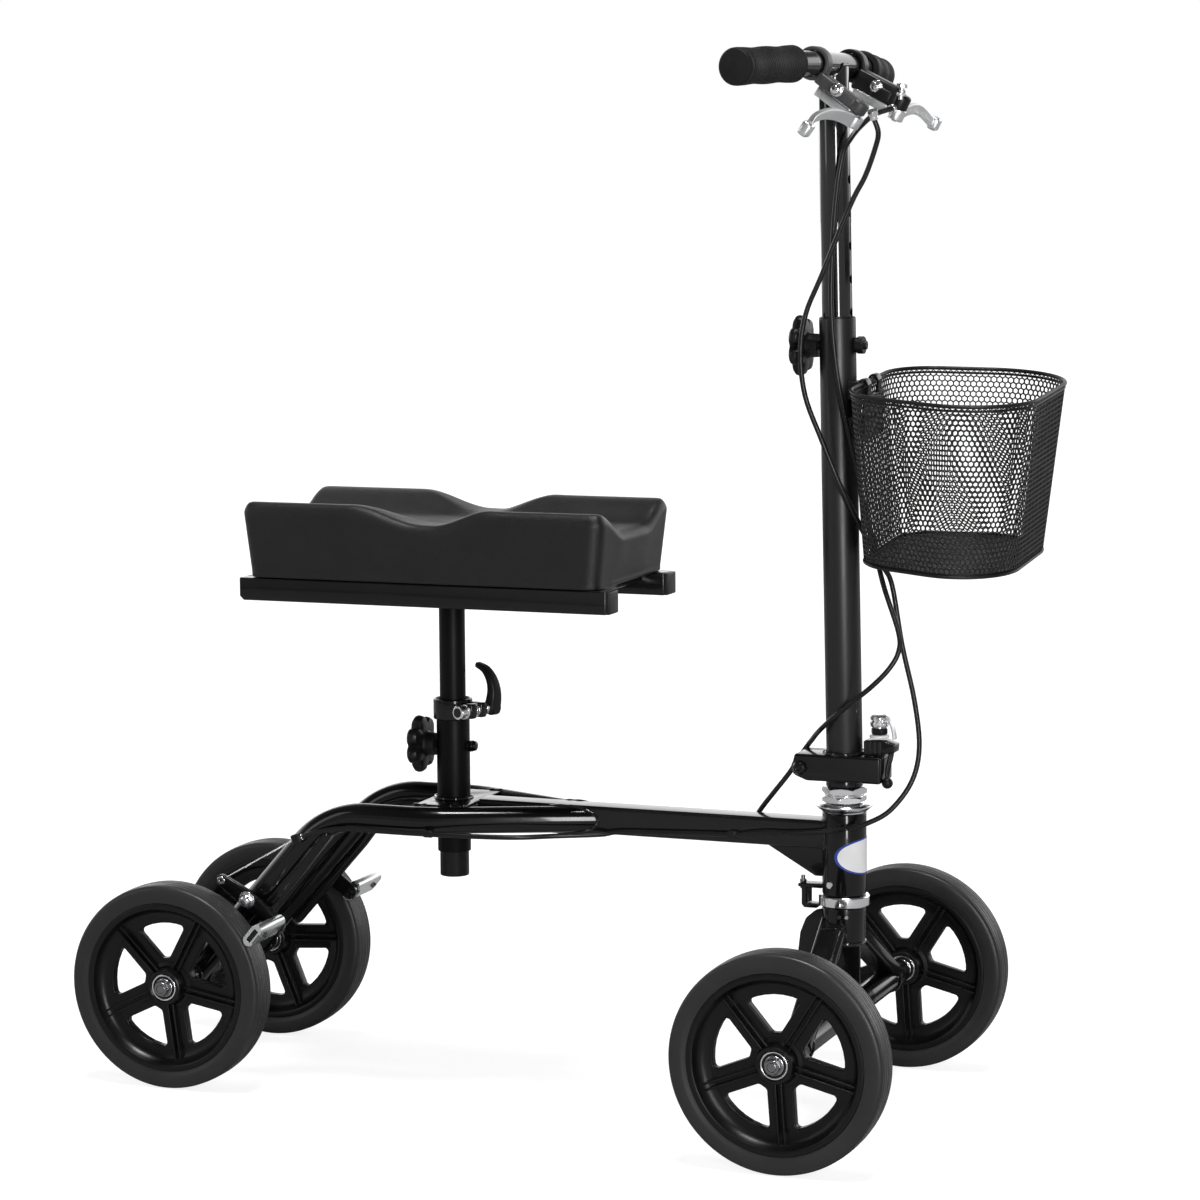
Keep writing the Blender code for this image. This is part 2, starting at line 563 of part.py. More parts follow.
# ---------------------------------------------------------------- rear brakes
def rear_brake(side, sign, frame):
    """A bell crank on the side tube that presses a ribbed bar on the tyre."""
    x, z = BRAKE_PIVOT.x, BRAKE_PIVOT.z
    turned(f"brake_pivot_{side}", [(0.0, 0.0160), (0.0060, 0.0150), (0.0068, 0.0110), (0.0038, 0.0110),
                                   (0.0038, 0.0), (0.0, 0.0)], CHROME,
           (x, sign * 0.0767, z), (-sign * math.pi / 2, 0, 0), 12, frame)
    pivot = empty(f"brake_axis_{side}", (x, sign * ARM_Y[0], z), frame)
    middle, width = sign * sum(ARM_Y) / 2, ARM_Y[1] - ARM_Y[0]
    shoe_end = (SHOE.x, SHOE.z)
    upper = stadium((x, z), (BRAKE_END.x, BRAKE_END.z), 0.0085, 0.0055)
    lower = stadium((x, z), shoe_end, 0.0080, 0.0075)
    arm = place(side_plate_mesh([upper], width, middle), f"brake_arm_{side}", PAINT, parent=pivot)
    half = (SHOE_Y[1] - ARM_Y[0]) / 2
    bar = box_mesh((-0.0068, -half, -0.0020), (0.0068, half, 0.0020))
    bar.transform(Matrix.Translation((SHOE.x, sign * (ARM_Y[0] + half - 0.001), SHOE.z))
                  @ Matrix.Rotation(-SHOE_TURN, 4, "Y"))
    join(arm, side_plate_mesh([lower], width - 0.0002, middle), bar)
    cut(arm, rod_mesh((x, middle - 0.01, z), (x, middle + 0.01, z), 0.0042, 12))
    oval = arc((0.0065, 0), 0.0055, -90, 90, 5) + arc((-0.0065, 0), 0.0055, 90, 270, 5)
    slot = [(-0.0072, -0.0024), (0.0072, -0.0024), (0.0072, 0.0024), (-0.0072, 0.0024)]
    shoe = plate_mesh([oval, slot], SHOE_Y[1] - SHOE_Y[0])
    shoe.transform(Matrix.Rotation(-SHOE_TURN, 4, "Y") @ Matrix.Rotation(math.pi / 2, 4, "X"))
    place(shoe, f"brake_shoe_{side}", ALUMINIUM, (SHOE.x, sign * sum(SHOE_Y) / 2, SHOE.z), parent=pivot)


# ---------------------------------------------------------------- fork and fold block
def fork(parent):
    """Crown, two splayed legs, the front axle's tube and the plate that ties them."""
    body = place(rod_mesh((STEER_X, 0, 0.166), (STEER_X, 0, 0.2004), 0.0200, 20), "fork", PAINT,
                 parent=parent)
    legs = []
    for sign in (-1, 1):
        top, foot = Vector((0.6380, sign * 0.004, 0.188)), Vector((AXLE_X, sign * 0.150, 0.1010))
        bar = box_mesh((-0.0130, -0.0065, 0), (0.0130, 0.0065, (foot - top).length))
        bar.transform(Matrix.Translation(top) @ (foot - top).to_track_quat("Z", "X").to_matrix().to_4x4()
                      @ Matrix.Rotation(math.pi / 2, 4, "Z"))
        legs.append(bar)
    tie = [(0.630, 0.1965), (0.617, 0.1945), (0.607, 0.186), (0.6015, 0.172), (0.5995, 0.155),
           (0.602, 0.130), (0.612, 0.104), (0.6597, 0.102), (0.6597, 0.190)]
    join(body, *legs, rod_mesh((AXLE_X, -0.1720, WHEEL_RADIUS), (AXLE_X, 0.1720, WHEEL_RADIUS), 0.0118, 16),
         side_plate_mesh([tie], 0.004))
    cut(body, rod_mesh((AXLE_X, -0.2, WHEEL_RADIUS), (AXLE_X, 0.2, WHEEL_RADIUS), AXLE_RADIUS + 0.0010, 12))


def steerer(parent):
    """The steerer tube with the fold joint's lower block on top, its locknuts and pivot bolt."""
    tube = place(rod_mesh((STEER_X, 0, 0.2008), (STEER_X, 0, 0.3205), STEERER_RADIUS, 20),
                 "steerer_block", PAINT, parent=parent)
    rear = (FOLD_PIVOT.x, FOLD_PIVOT.z)
    side = arc(rear, 0.0085, 95, 265, 8) + [(0.6200, 0.3195), (0.6760, 0.3195), (0.6760, 0.3404),
                                            (0.6200, 0.3404)]
    join(tube, rod_mesh((STEER_X, 0, 0.3129), (STEER_X, 0, 0.3205), 0.0168, 20),
         side_plate_mesh([side], 2 * CHANNEL_Y[0] - 2 * GAP))
    cut(tube, rod_mesh((rear[0], -0.03, rear[1]), (rear[0], 0.03, rear[1]), 0.0043, 12))
    turned("headset_locknuts", [(0.0188, 0.3125), (0.0202, 0.3112), (0.0202, 0.3062), (0.0185, 0.3053),
                                (0.0202, 0.3044), (0.0202, 0.2992), (0.0190, 0.2979), (0.0152, 0.2979),
                                (0.0152, 0.3125)], CHROME, (STEER_X, 0, 0), steps=6, parent=parent)
    out = CHANNEL_Y[1] + GAP
    half = [(0.0, out + 0.0045), (0.0045, out + 0.0042), (0.0066, out + 0.0020), (0.0066, out), (0.0040, out)]
    turned("fold_pivot_bolt", half + [(r, -z) for r, z in reversed(half)], PAINT,
           FOLD_PIVOT, (math.pi / 2, 0, 0), 12, parent)


# ---------------------------------------------------------------- column and stem
def column(parent):
    """The fold channel with the lower column tube, the latch, clamp nut and basket bracket."""
    lean = (0, COLUMN_LEAN, 0)
    rear = (FOLD_PIVOT.x, FOLD_PIVOT.z)
    side = arc(rear, 0.0090, 145, 235, 4) + [(0.6100, 0.3190), (CHANNEL_X[1], 0.3190),
                                             (CHANNEL_X[1], CHANNEL_TOP), (0.6015, CHANNEL_TOP)]
    shell = place(side_plate_mesh([side], 2 * CHANNEL_Y[1]), "fold_channel", PAINT, parent=parent)
    cut(shell, box_mesh((0.58, -CHANNEL_Y[0], 0.30),
                        (CHANNEL_X[1] - 0.003, CHANNEL_Y[0], CHANNEL_TOP - 0.0028)))
    block = [(0.6655, CHANNEL_TOP - 0.001), (0.6800, CHANNEL_TOP - 0.001), (0.6800, LATCH_PIVOT.z - 0.005),
             (LATCH_PIVOT.x, LATCH_PIVOT.z - 0.0045)] \
        + arc((LATCH_PIVOT.x, LATCH_PIVOT.z), 0.0045, -60, 60, 3) \
        + [(LATCH_PIVOT.x, LATCH_PIVOT.z + 0.0045), (0.6840, 0.3580), (0.6655, 0.3580)]
    join(shell, side_plate_mesh([block], 0.018))
    cut(shell, box_mesh((0.6815, -0.0058, CHANNEL_TOP + GAP), (0.70, 0.0058, 0.37)),
        rod_mesh((rear[0], -0.03, rear[1]), (rear[0], 0.03, rear[1]), 0.0044, 14))
    join(shell, rod_mesh((LATCH_PIVOT.x, -0.0075, LATCH_PIVOT.z), (LATCH_PIVOT.x, 0.0075, LATCH_PIVOT.z),
                         0.0021, 8))
    turned("latch_bolt", [(0.0030, 0.3850), (0.0075, 0.3815), (0.0088, 0.3800), (0.0088, 0.3712),
                          (0.0075, 0.3697), (0.0050, 0.3697), (0.0050, 0.3620), (0.0085, 0.3620),
                          (0.0085, 0.3583), (0.0030, 0.3583)], CHROME, (0.6745, 0, 0), steps=12,
           parent=parent)
    cam = empty("latch_lever_axis", LATCH_PIVOT, parent)
    shape = arc((LATCH_PIVOT.x, LATCH_PIVOT.z), 0.0045, 20, 160, 5) \
        + [(0.6852, 0.3400), (0.6860, 0.3290)] + arc((0.6905, 0.3235), 0.0045, 170, 370, 6) \
        + [(0.6955, 0.3300), (0.6945, 0.3420)]
    lever = place(side_plate_mesh([shape], 0.0108), "latch_lever", PLASTIC, parent=cam)
    cut(lever, rod_mesh((LATCH_PIVOT.x, -0.02, LATCH_PIVOT.z), (LATCH_PIVOT.x, 0.02, LATCH_PIVOT.z),
                        0.0025, 10))
    bolt_way = rod_mesh(up_column(-0.03, 0, STEM_KNOB_Z), up_column(0.03, 0, STEM_KNOB_Z), 0.0045, 12)
    tube = ring("column_tube", COLUMN_RADIUS, STEM_RADIUS + GAP, 0.0006, COLUMN_LENGTH, PAINT,
                COLUMN_FOOT, lean, parent=parent)
    cut(tube, bolt_way)
    turned("stem_knob_nut", [(0.0, 0.0095), (0.0060, 0.0095), (0.0092, 0.0070), (0.0092, 0.0), (0.0, 0.0)],
           PLASTIC, up_column(COLUMN_RADIUS + GAP, 0, STEM_KNOB_Z), (0, math.pi / 2 + COLUMN_LEAN, 0), 12,
           parent)
    block = box_mesh((0.0120, -0.0130, 0.2950), (0.0258, 0.0130, 0.3440))
    block.transform(Matrix.Translation(COLUMN_FOOT) @ Matrix.Rotation(COLUMN_LEAN, 4, "Y"))
    bracket = place(block, "basket_bracket", PLASTIC, parent=parent)
    cut(bracket, rod_mesh(up_column(0, 0, 0.28), up_column(0, 0, 0.36), COLUMN_RADIUS + 2 * GAP, 24))


def stem(parent):
    lean = (0, COLUMN_LEAN, 0)
    tube = ring("stem_tube", STEM_RADIUS, 0.0122, STEM_BOTTOM, 0.6280, PAINT, COLUMN_FOOT, lean,
                parent=parent)
    reach = 0.03
    cut(tube, rod_mesh(BAR_CENTRE - Vector((0, reach, 0)), BAR_CENTRE + Vector((0, reach, 0)),
                       BAR_RADIUS + 2 * GAP, 16),
        *[rod_mesh(up_column(-reach, 0, h), up_column(reach, 0, h), 0.0042, 8) for h in STEM_HOLES])
    bend = BAR_CENTRE + Vector((0, 0.070, 0))
    tip = Vector((0.611, BAR_HALF - 0.004, 0.968))
    flip = Vector((1, -1, 1))
    path = filleted([tip * flip, bend * flip, bend, tip], 0.06, 3)
    place(pipe_mesh(path, BAR_RADIUS, 4), "handlebar", PAINT, parent=parent)
    heading = (tip - bend).normalized()
    for side, sign in (("right", -1), ("left", 1)):
        end = Vector((tip.x, sign * tip.y, tip.z)) + Vector((heading.x, sign * heading.y, heading.z)) * 0.004
        way = Vector((heading.x, sign * heading.y, heading.z))
        profile = [(0.0, 0.0), (0.0110, 0.0), (0.0150, -0.0012), (GRIP_RADIUS, -0.0045),
                   (GRIP_RADIUS, -GRIP_LENGTH), (BAR_RADIUS + 2 * GAP, -GRIP_LENGTH),
                   (BAR_RADIUS + 2 * GAP, -0.0036), (0.0, -0.0036)]
        turned(f"grip_{side}", profile, RUBBER, end, way.to_track_quat("Z", "Y"), 16, parent)


def brake_lever(side, sign, parent):
    """A perch clamped on the bar, sloping forwards and down, with its sprung lever below it."""
    slope = math.radians(PERCH_ANGLES[side])
    ahead = Vector((math.cos(slope), 0, -math.sin(slope)))
    lift = Vector((math.sin(slope), 0, math.cos(slope)))
    middle = BAR_CENTRE + Vector((0, sign * PERCH_Y, 0))
    frame = Matrix((ahead, (0, 1, 0), lift)).transposed().to_4x4()
    frame.translation = middle
    perch = ring(f"brake_perch_{side}", 0.0152, BAR_RADIUS + 0.0006, -0.007, 0.007, PLASTIC, middle,
                 (math.pi / 2, 0, 0), 16, parent)
    housing = box_mesh((0.0128, -0.0085, -0.0125), (LEVER_REACH + 0.0070, 0.0085, -0.0010))
    pin = rod_mesh((LEVER_REACH, 0, -0.0265), (LEVER_REACH, 0, -0.0050), 0.0026, 10)
    for shape in (housing, pin):
        shape.transform(frame)
    join(perch, housing, pin)
    pivot = empty(f"lever_axis_{side}", frame @ Vector((LEVER_REACH, 0, -LEVER_DROP)), parent)
    shape = [(0.000, 0.0600, 0.0), (0.026, 0.0582, 0.0025), (0.052, 0.0559, 0.0040),
             (0.078, 0.0544, 0.0030), (0.104, 0.0552, -0.0010), (0.126, 0.0600, -0.0075)]
    front = [(v + 0.0027, sign * u) for u, v, _ in shape]
    back = [(v - 0.0027, sign * u) for u, v, _ in shape]
    root = arc((LEVER_REACH, 0), 0.0075, -sign * 20, -sign * 160, 5)
    tip = arc((0.0620, sign * 0.1310), 0.0068, 0, 315, 7)
    blade = plate_mesh([root + back[1:] + front[:0:-1]], 0.0110)
    for vert in blade.vertices:
        vert.co.z += bow(abs(vert.co.y), shape) + min(0.0, 0.0025 - 0.03 * abs(vert.co.y)) * vert.co.z / 0.011
    ball = plate_mesh([tip], 0.0135)
    ball.transform(Matrix.Translation((0, 0, shape[-1][2])))
    for mesh in (blade, ball):
        mesh.transform(frame @ Matrix.Translation((0, 0, -LEVER_DROP)))
    lever = place(blade, f"brake_lever_{side}", ALUMINIUM, parent=pivot)
    hole = rod_mesh((LEVER_REACH, 0, -0.035), (LEVER_REACH, 0, 0), 0.0031, 10)
    hole.transform(frame)
    join(lever, ball)
    cut(lever, hole)


def bow(reach, shape):
    """How far a lever's middle line stands above its root, by distance along the bar."""
    for (u, _, low), (v, _, high) in zip(shape, shape[1:]):
        if reach <= v:
            return low + (high - low) * max(0.0, reach - u) / (v - u)
    return shape[-1][2]


# ---------------------------------------------------------------- basket
def basket_outline(scale, steps=4):
    """The rounded trapezoid of the basket's plan, about its own middle."""
    centre = (BASKET_BACK[0] + BASKET_FRONT[0]) / 2
    (back, back_half), (front, front_half) = BASKET_BACK, BASKET_FRONT
    corners = [(back, -back_half, 0), (front, -front_half, 1), (front, front_half, 1), (back, back_half, 0)]
    outline = []
    for index, (x, y, which) in enumerate(corners):
        corner = Vector((x - centre, y))
        before, after = corners[index - 1], corners[(index + 1) % 4]
        back_way = (Vector((before[0] - centre, before[1])) - corner).normalized()
        next_way = (Vector((after[0] - centre, after[1])) - corner).normalized()
        half = back_way.angle(next_way) / 2
        radius = BASKET_CORNERS[which]
        middle = corner + (back_way + next_way).normalized() * (radius / math.sin(half))
        reach = radius / math.tan(half)
        start, end = corner + back_way * reach - middle, corner + next_way * reach - middle
        sweep = start.angle_signed(end)
        for step in range(steps + 1):
            turned_way = start.copy()
            turned_way.rotate(Matrix.Rotation(-sweep * step / steps, 2))
            point = middle + turned_way
            outline.append(Vector((point.x * scale[0], point.y * scale[1])))
    return outline


def basket(parent):
    """An open tapering basket that hangs on the column's bracket, tilted as it hangs."""
    centre = (BASKET_BACK[0] + BASKET_FRONT[0]) / 2
    depth = BASKET_RIM_Z - BASKET_FLOOR_Z
    work = bmesh.new()
    loops = []
    for scale, height in ((BASKET_TAPER, -depth), ((1, 1), 0.0)):
        loops.append([work.verts.new((p.x, p.y, height)) for p in basket_outline(scale)])
    count = len(loops[0])
    work.faces.new(loops[0])
    for i in range(count):
        j = (i + 1) % count
        work.faces.new((loops[0][i], loops[0][j], loops[1][j], loops[1][i]))
    bmesh.ops.recalc_face_normals(work, faces=work.faces)
    mesh = _to_mesh(work)
    made = place(mesh, "basket", MESH_BLACK, (centre, 0, BASKET_RIM_Z), (BASKET_ROLL, BASKET_PITCH, 0),
                 parent)
    wall = made.modifiers.new("wall", "SOLIDIFY")
    wall.thickness = BASKET_WALL
    wall.offset = -1
    wall.use_even_offset = True


# ---------------------------------------------------------------- brake cables
def cable(name, points, parent, steps=3):
    place(pipe_mesh(smooth(points, steps), CABLE_RADIUS, 1), name, RUBBER, parent=parent)


# ---------------------------------------------------------------- assembly
def build():
    frame = empty("frame", (0, 0, 0))
    main_beam(frame)
    head_set(frame)
    rear_axle_tube(frame)
    spin = seat_tube_set(frame)
    seat_clamp_lever(spin, frame)
    lobed_knob("seat_knob", (SEAT_X - SEAT_TUBE_RADIUS - GAP, 0, SEAT_KNOB_Z), PLASTIC, frame,
               SEAT_TUBE_RADIUS - POST_RADIUS - 0.0005)
    axle("rear_axle", 0, REAR_TRACK, CHROME, frame)
    for side, sign in (("right", -1), ("left", 1)):
        side_tube(side, sign, frame)
        rear_brake(side, sign, frame)
    wheel("rear_right", 0, -REAR_TRACK / 2, -10, frame)
    wheel("rear_left", 0, REAR_TRACK / 2, 4, frame)

    seat(empty("seat_slide", (SEAT_X, 0, CLAMP_Z), frame))

    steering = empty("steering_axis", (STEER_X, 0, HEAD_BOTTOM), frame)
    fork(steering)
    steerer(steering)
    axle("front_axle", AXLE_X, FRONT_TRACK, CHROME, steering)
    wheel("front_right", AXLE_X, -FRONT_TRACK / 2, -14, steering)
    wheel("front_left", AXLE_X, FRONT_TRACK / 2, -14, steering)

    fold = empty("fold_axis", FOLD_PIVOT, steering)
    column(fold)
    lobed_knob("stem_knob", up_column(-COLUMN_RADIUS - GAP, 0, STEM_KNOB_Z), PLASTIC, fold,
               COLUMN_RADIUS - STEM_RADIUS - 0.0005)
    basket(empty("basket_slide", (0.6635, 0, 0.66), fold))

    slide = empty("stem_slide", up_column(0, 0, COLUMN_LENGTH), fold)
    stem(slide)
    for side, sign in (("right", -1), ("left", 1)):
        brake_lever(side, sign, slide)
    cable("brake_cable_left_upper", LEFT_CABLE, fold)
    cable("brake_cable_right_upper", RIGHT_CABLE, fold)
    for side, sign in (("right", -1), ("left", 1)):
        cable(f"brake_cable_{side}_lower", [(x, sign * y, z) for x, y, z in LOWER_CABLE], frame)
    for item in bpy.data.objects:
        if item.parent is None:
            item.location -= ORIGIN


build()
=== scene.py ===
"""Looks of the knee scooter: fine pieces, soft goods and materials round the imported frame.

Lengths are metres. Places are measured from the floor under the rear axle; BASE, which comes
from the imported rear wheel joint, takes them into the frame's own coordinates.
"""
import json
import math
import random

import bmesh
import bpy
from mathutils import Matrix, Vector


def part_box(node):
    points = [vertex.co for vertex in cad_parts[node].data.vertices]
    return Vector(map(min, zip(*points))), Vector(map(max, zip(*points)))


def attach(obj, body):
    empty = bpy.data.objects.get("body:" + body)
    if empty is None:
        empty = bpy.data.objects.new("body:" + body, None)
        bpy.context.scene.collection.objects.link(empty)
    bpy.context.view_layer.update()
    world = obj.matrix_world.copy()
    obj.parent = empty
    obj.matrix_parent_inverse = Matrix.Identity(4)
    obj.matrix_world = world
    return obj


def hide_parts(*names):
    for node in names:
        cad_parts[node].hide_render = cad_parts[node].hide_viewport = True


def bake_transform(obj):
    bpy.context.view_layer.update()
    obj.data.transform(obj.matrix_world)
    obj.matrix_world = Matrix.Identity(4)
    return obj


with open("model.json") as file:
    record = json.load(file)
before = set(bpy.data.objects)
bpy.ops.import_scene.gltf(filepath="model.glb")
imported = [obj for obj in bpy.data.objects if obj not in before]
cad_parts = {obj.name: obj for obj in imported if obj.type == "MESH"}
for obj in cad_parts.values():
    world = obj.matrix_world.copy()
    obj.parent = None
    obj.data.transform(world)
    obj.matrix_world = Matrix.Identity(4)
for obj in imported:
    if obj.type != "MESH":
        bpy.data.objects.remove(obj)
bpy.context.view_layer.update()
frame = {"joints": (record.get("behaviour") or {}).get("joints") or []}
JOINTS = {joint["name"]: joint for joint in frame["joints"]}
WHEEL_RADIUS = 0.1
BASE = Vector(JOINTS["rear_left_spin"]["pos_m"])
BASE.y = 0
BASE.z -= WHEEL_RADIUS
CHANCE = random.Random(7)
QUARTER = math.pi / 2
GAP = 0.0003    # the play left between parts that fit together


def cad_box(node):
    """A CAD node's corners, measured from the floor under the rear axle."""
    low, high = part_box(node)
    return low - BASE, high - BASE


def joint_at(name):
    """A joint's place, measured from the floor under the rear axle."""
    return Vector(JOINTS[name]["pos_m"]) - BASE


# ---------------------------------------------------------------- sizes shared between pieces
SIDES = (("right", -1), ("left", 1))
SEAT_X = 0.25
STEER_X = 0.644
BEAM_LOW, BEAM_HIGH = cad_box("main_beam")
PAD_LOW, PAD_HIGH = cad_box("knee_pad")
HEAD_RADIUS = 0.0205
SIDE_Y = 0.064    # the side tubes, which run straight at this width and height
SIDE_Z = 0.267
SIDE_RADIUS = 0.0127
SEAT_KNOB_Z = 0.33
SEAT_TUBE_RADIUS = 0.016
POST_RADIUS = 0.0125
CLAMP_Z = 0.366    # the seat clamp, its turn about the post and how far out its bolt is
CLAMP_TURN = math.radians(-21.35)
CLAMP_OUT = 0.0262
FOLD_PIVOT = joint_at("column_fold")
AXLE_X = joint_at("front_left_spin").x
CHANNEL_TOP = 0.3436
COLUMN_RADIUS = 0.0168
STEM_RADIUS = 0.014
STEM_KNOB = 0.3765    # along the column, as COLUMN_LENGTH is
COLUMN_LENGTH = 0.4015
COLUMN_UP = Vector(JOINTS["stem_height"]["axis"]).normalized()
COLUMN_FOOT = Vector((STEER_X, 0, CHANNEL_TOP))
COLUMN = Matrix(((COLUMN_UP.z, 0, COLUMN_UP.x), (0, 1, 0), (-COLUMN_UP.x, 0, COLUMN_UP.z))).to_4x4()
COLUMN.translation = COLUMN_FOOT
BAR_CENTRE = Vector((0.6318, 0, 0.9735))
BAR_RADIUS = 0.0111
BAR_TIP = Vector((0.611, 0.211, 0.968))
BAR_BEND = BAR_CENTRE + Vector((0, 0.07, 0))
LEVER_REACH = 0.059    # from the bar to a hand lever's pin, and down to its blade
LEVER_DROP = 0.0195
SHOE_TURN = math.radians(50)
SHOE_LENGTH = 0.052
CRANK_PIN = (0.04, 0.082, 0.199)    # the left side's, where the cable's wire ends
CABLE_RADIUS = 0.0024


# ---------------------------------------------------------------- materials
BUMP_HEIGHT = 0.0006
CLOUD_SCALE = 23
LIGHT_EDGES = (0.53, 0.64)    # the pointiness at which edges start to lighten, as rubbing and as painted highlight, and where it is full


def new_node(tree, kind, **values):
    """A shader node with its sockets' values; an underscore stands for a space."""
    made = tree.nodes.new("ShaderNode" + kind)
    set_sockets(made, **values)
    return made


def set_sockets(shader, **values):
    for socket, value in values.items():
        shader.inputs[socket.replace("_", " ")].default_value = value


def mixed(tree, factor, first, second):
    """A colour mix; an input is a socket to link, or a colour."""
    made = new_node(tree, "Mix")
    made.data_type = "RGBA"
    tree.links.new(factor, made.inputs["Factor"])
    for socket, value in (("A", first), ("B", second)):
        if isinstance(value, list):
            made.inputs[socket].default_value = (*value, 1)
        else:
            tree.links.new(value, made.inputs[socket])
    return made.outputs["Result"]


def look(name, slot, colour, roughness, metallic=0.0, coat=0.0, grain=(500, 0.1), cloud=0.06,
         lift=0.3, edge_wear_and_highlight=0.0, streak=(1, 1, 1), shine=0.5):
    """A finish: grain is its bump's scale and strength, cloud how far its roughness wanders, lift how
    far its colour does, the edge wear and highlight how far its edges are lightened, partly as rubbing
    and partly as a painted highlight, and streak stretches the grain."""
    made = bpy.data.materials.new(name)
    made.use_nodes = True
    made["slot"] = slot
    tree = made.node_tree
    link = tree.links.new
    shader = tree.nodes["Principled BSDF"]
    set_sockets(shader, Metallic=metallic, Coat_Weight=coat, Coat_Roughness=0.05, Specular_IOR_Level=shine)
    where = new_node(tree, "TexCoord")
    stretch = new_node(tree, "Mapping", Scale=streak)
    link(where.outputs["Object"], stretch.inputs["Vector"])
    fine = new_node(tree, "TexNoise", Scale=grain[0], Detail=4)
    link(stretch.outputs["Vector"], fine.inputs["Vector"])
    bump = new_node(tree, "Bump", Strength=grain[1], Distance=BUMP_HEIGHT)
    link(fine.outputs["Fac"], bump.inputs["Height"])
    link(bump.outputs["Normal"], shader.inputs["Normal"])
    broad = new_node(tree, "TexNoise", Scale=CLOUD_SCALE, Detail=5)
    link(where.outputs["Object"], broad.inputs["Vector"])
    rough = new_node(tree, "MapRange", From_Min=0.3, From_Max=0.7, To_Min=max(0.02, roughness - cloud),
                     To_Max=roughness + cloud)
    link(broad.outputs["Fac"], rough.inputs["Value"])
    link(rough.outputs["Result"], shader.inputs["Roughness"])
    shade = mixed(tree, broad.outputs["Fac"], [c * (1 - lift / 2) for c in colour],
                  [c * (1 + lift) for c in colour])
    # painted highlight: edges found by pointiness are lightened, partly as rubbing and partly as a painted
    # edge highlight
    if edge_wear_and_highlight:
        edge_lightening = new_node(tree, "MapRange", From_Min=LIGHT_EDGES[0], From_Max=LIGHT_EDGES[1], To_Max=edge_wear_and_highlight)
        link(new_node(tree, "NewGeometry").outputs["Pointiness"], edge_lightening.inputs["Value"])
        shade = mixed(tree, edge_lightening.outputs["Result"], shade, [min(1.0, c * 3 + 0.03) for c in colour])
    link(shade, shader.inputs["Base Color"])
    return made


PAINT = look("gloss_black_paint", "paint", (0.0032, 0.0032, 0.0035), 0.2, coat=0.4,
             grain=(260, 0.025), cloud=0.04, edge_wear_and_highlight=0.22, shine=0.24)
GLOSS = look("bright_black_paint", "paint", (0.003, 0.003, 0.0033), 0.1, coat=1.0,
             grain=(240, 0.02), cloud=0.03, edge_wear_and_highlight=0.2, shine=0.5)
SATIN = look("satin_black_paint", "paint", (0.0048, 0.0048, 0.0051), 0.37, grain=(300, 0.04), cloud=0.05,
             edge_wear_and_highlight=0.22, shine=0.6)
DULL = look("dull_black_paint", "paint", (0.0032, 0.0032, 0.0034), 0.4, grain=(300, 0.04), cloud=0.05,
            edge_wear_and_highlight=0.22, shine=0.13)
BEAD = look("painted_weld", "paint", (0.005, 0.005, 0.0055), 0.16, coat=0.5, grain=(900, 0.1))
PLASTIC = look("moulded_black_plastic", "plastic", (0.0058, 0.0058, 0.006), 0.36,
               grain=(1100, 0.1), edge_wear_and_highlight=0.35, shine=0.3)
RIM = look("moulded_rim_plastic", "plastic", (0.003, 0.003, 0.0032), 0.33, grain=(800, 0.08), edge_wear_and_highlight=0.3,
           shine=0.3)
# the black perch plastic painted lighter grey: a painted highlight for the light falling on the right perch
LIT_GREY_PLASTIC = look("plastic_painted_lit_grey", "plastic", (0.045, 0.045, 0.047), 0.45, grain=(900, 0.14), edge_wear_and_highlight=0.3)
RUBBER = look("tyre_rubber", "tread", (0.021, 0.021, 0.0216), 0.4, grain=(700, 0.14), cloud=0.08,
              edge_wear_and_highlight=0.25, shine=0.4)
GRIP = look("grip_rubber", "grip_rubber", (0.008, 0.008, 0.008), 0.58, grain=(1300, 0.3), shine=0.25)
SKIN = look("cable_skin", "grip_rubber", (0.006, 0.006, 0.0063), 0.3, grain=(900, 0.05), shine=0.4)
PAD = look("grained_pad_skin", "pad", (0.0072, 0.0072, 0.0076), 0.4, grain=(820, 0.8), cloud=0.05,
           shine=0.42)
CHROME = look("bright_chrome", "chrome", (0.93, 0.93, 0.95), 0.17, metallic=1.0, grain=(300, 0.02),
              cloud=0.05, lift=0.08)
ZINC = look("zinc_steel", "chrome", (0.26, 0.26, 0.27), 0.26, metallic=1.0, grain=(900, 0.08),
            lift=0.15)
ALLOY = look("cast_alloy", "alloy", (0.84, 0.85, 0.86), 0.36, metallic=1.0, grain=(900, 0.22),
             lift=0.12, edge_wear_and_highlight=0.3)
EXTRUDED = look("extruded_alloy", "alloy", (0.84, 0.85, 0.86), 0.28, metallic=1.0,
                grain=(260, 0.2), lift=0.1, streak=(3, 0.15, 3))
COATED = look("coated_mesh", "mesh", (0.0075, 0.0075, 0.0078), 0.42, grain=(1500, 0.15), shine=0.35)
ENAMEL = look("white_enamel", "paint", (0.96, 0.96, 0.97), 0.22, grain=(400, 0.02), lift=0.02)
BLUE = look("blue_enamel", "paint", (0.035, 0.075, 0.42), 0.22, grain=(400, 0.02), lift=0.1)


# ---------------------------------------------------------------- shape helpers
def to_mesh(work):
    mesh = bpy.data.meshes.new("shape")
    work.to_mesh(mesh)
    work.free()
    return mesh


def moved(mesh, matrix):
    mesh.transform(matrix)
    if matrix.determinant() < 0:
        mesh.flip_normals()
    return mesh


def copied(mesh, matrix):
    return moved(mesh.copy(), matrix)


def joined(*meshes):
    work = bmesh.new()
    for mesh in meshes:
        work.from_mesh(mesh)
    return to_mesh(work)


def all_moved(shapes, matrix):
    return [moved(shape, matrix) for shape in shapes]


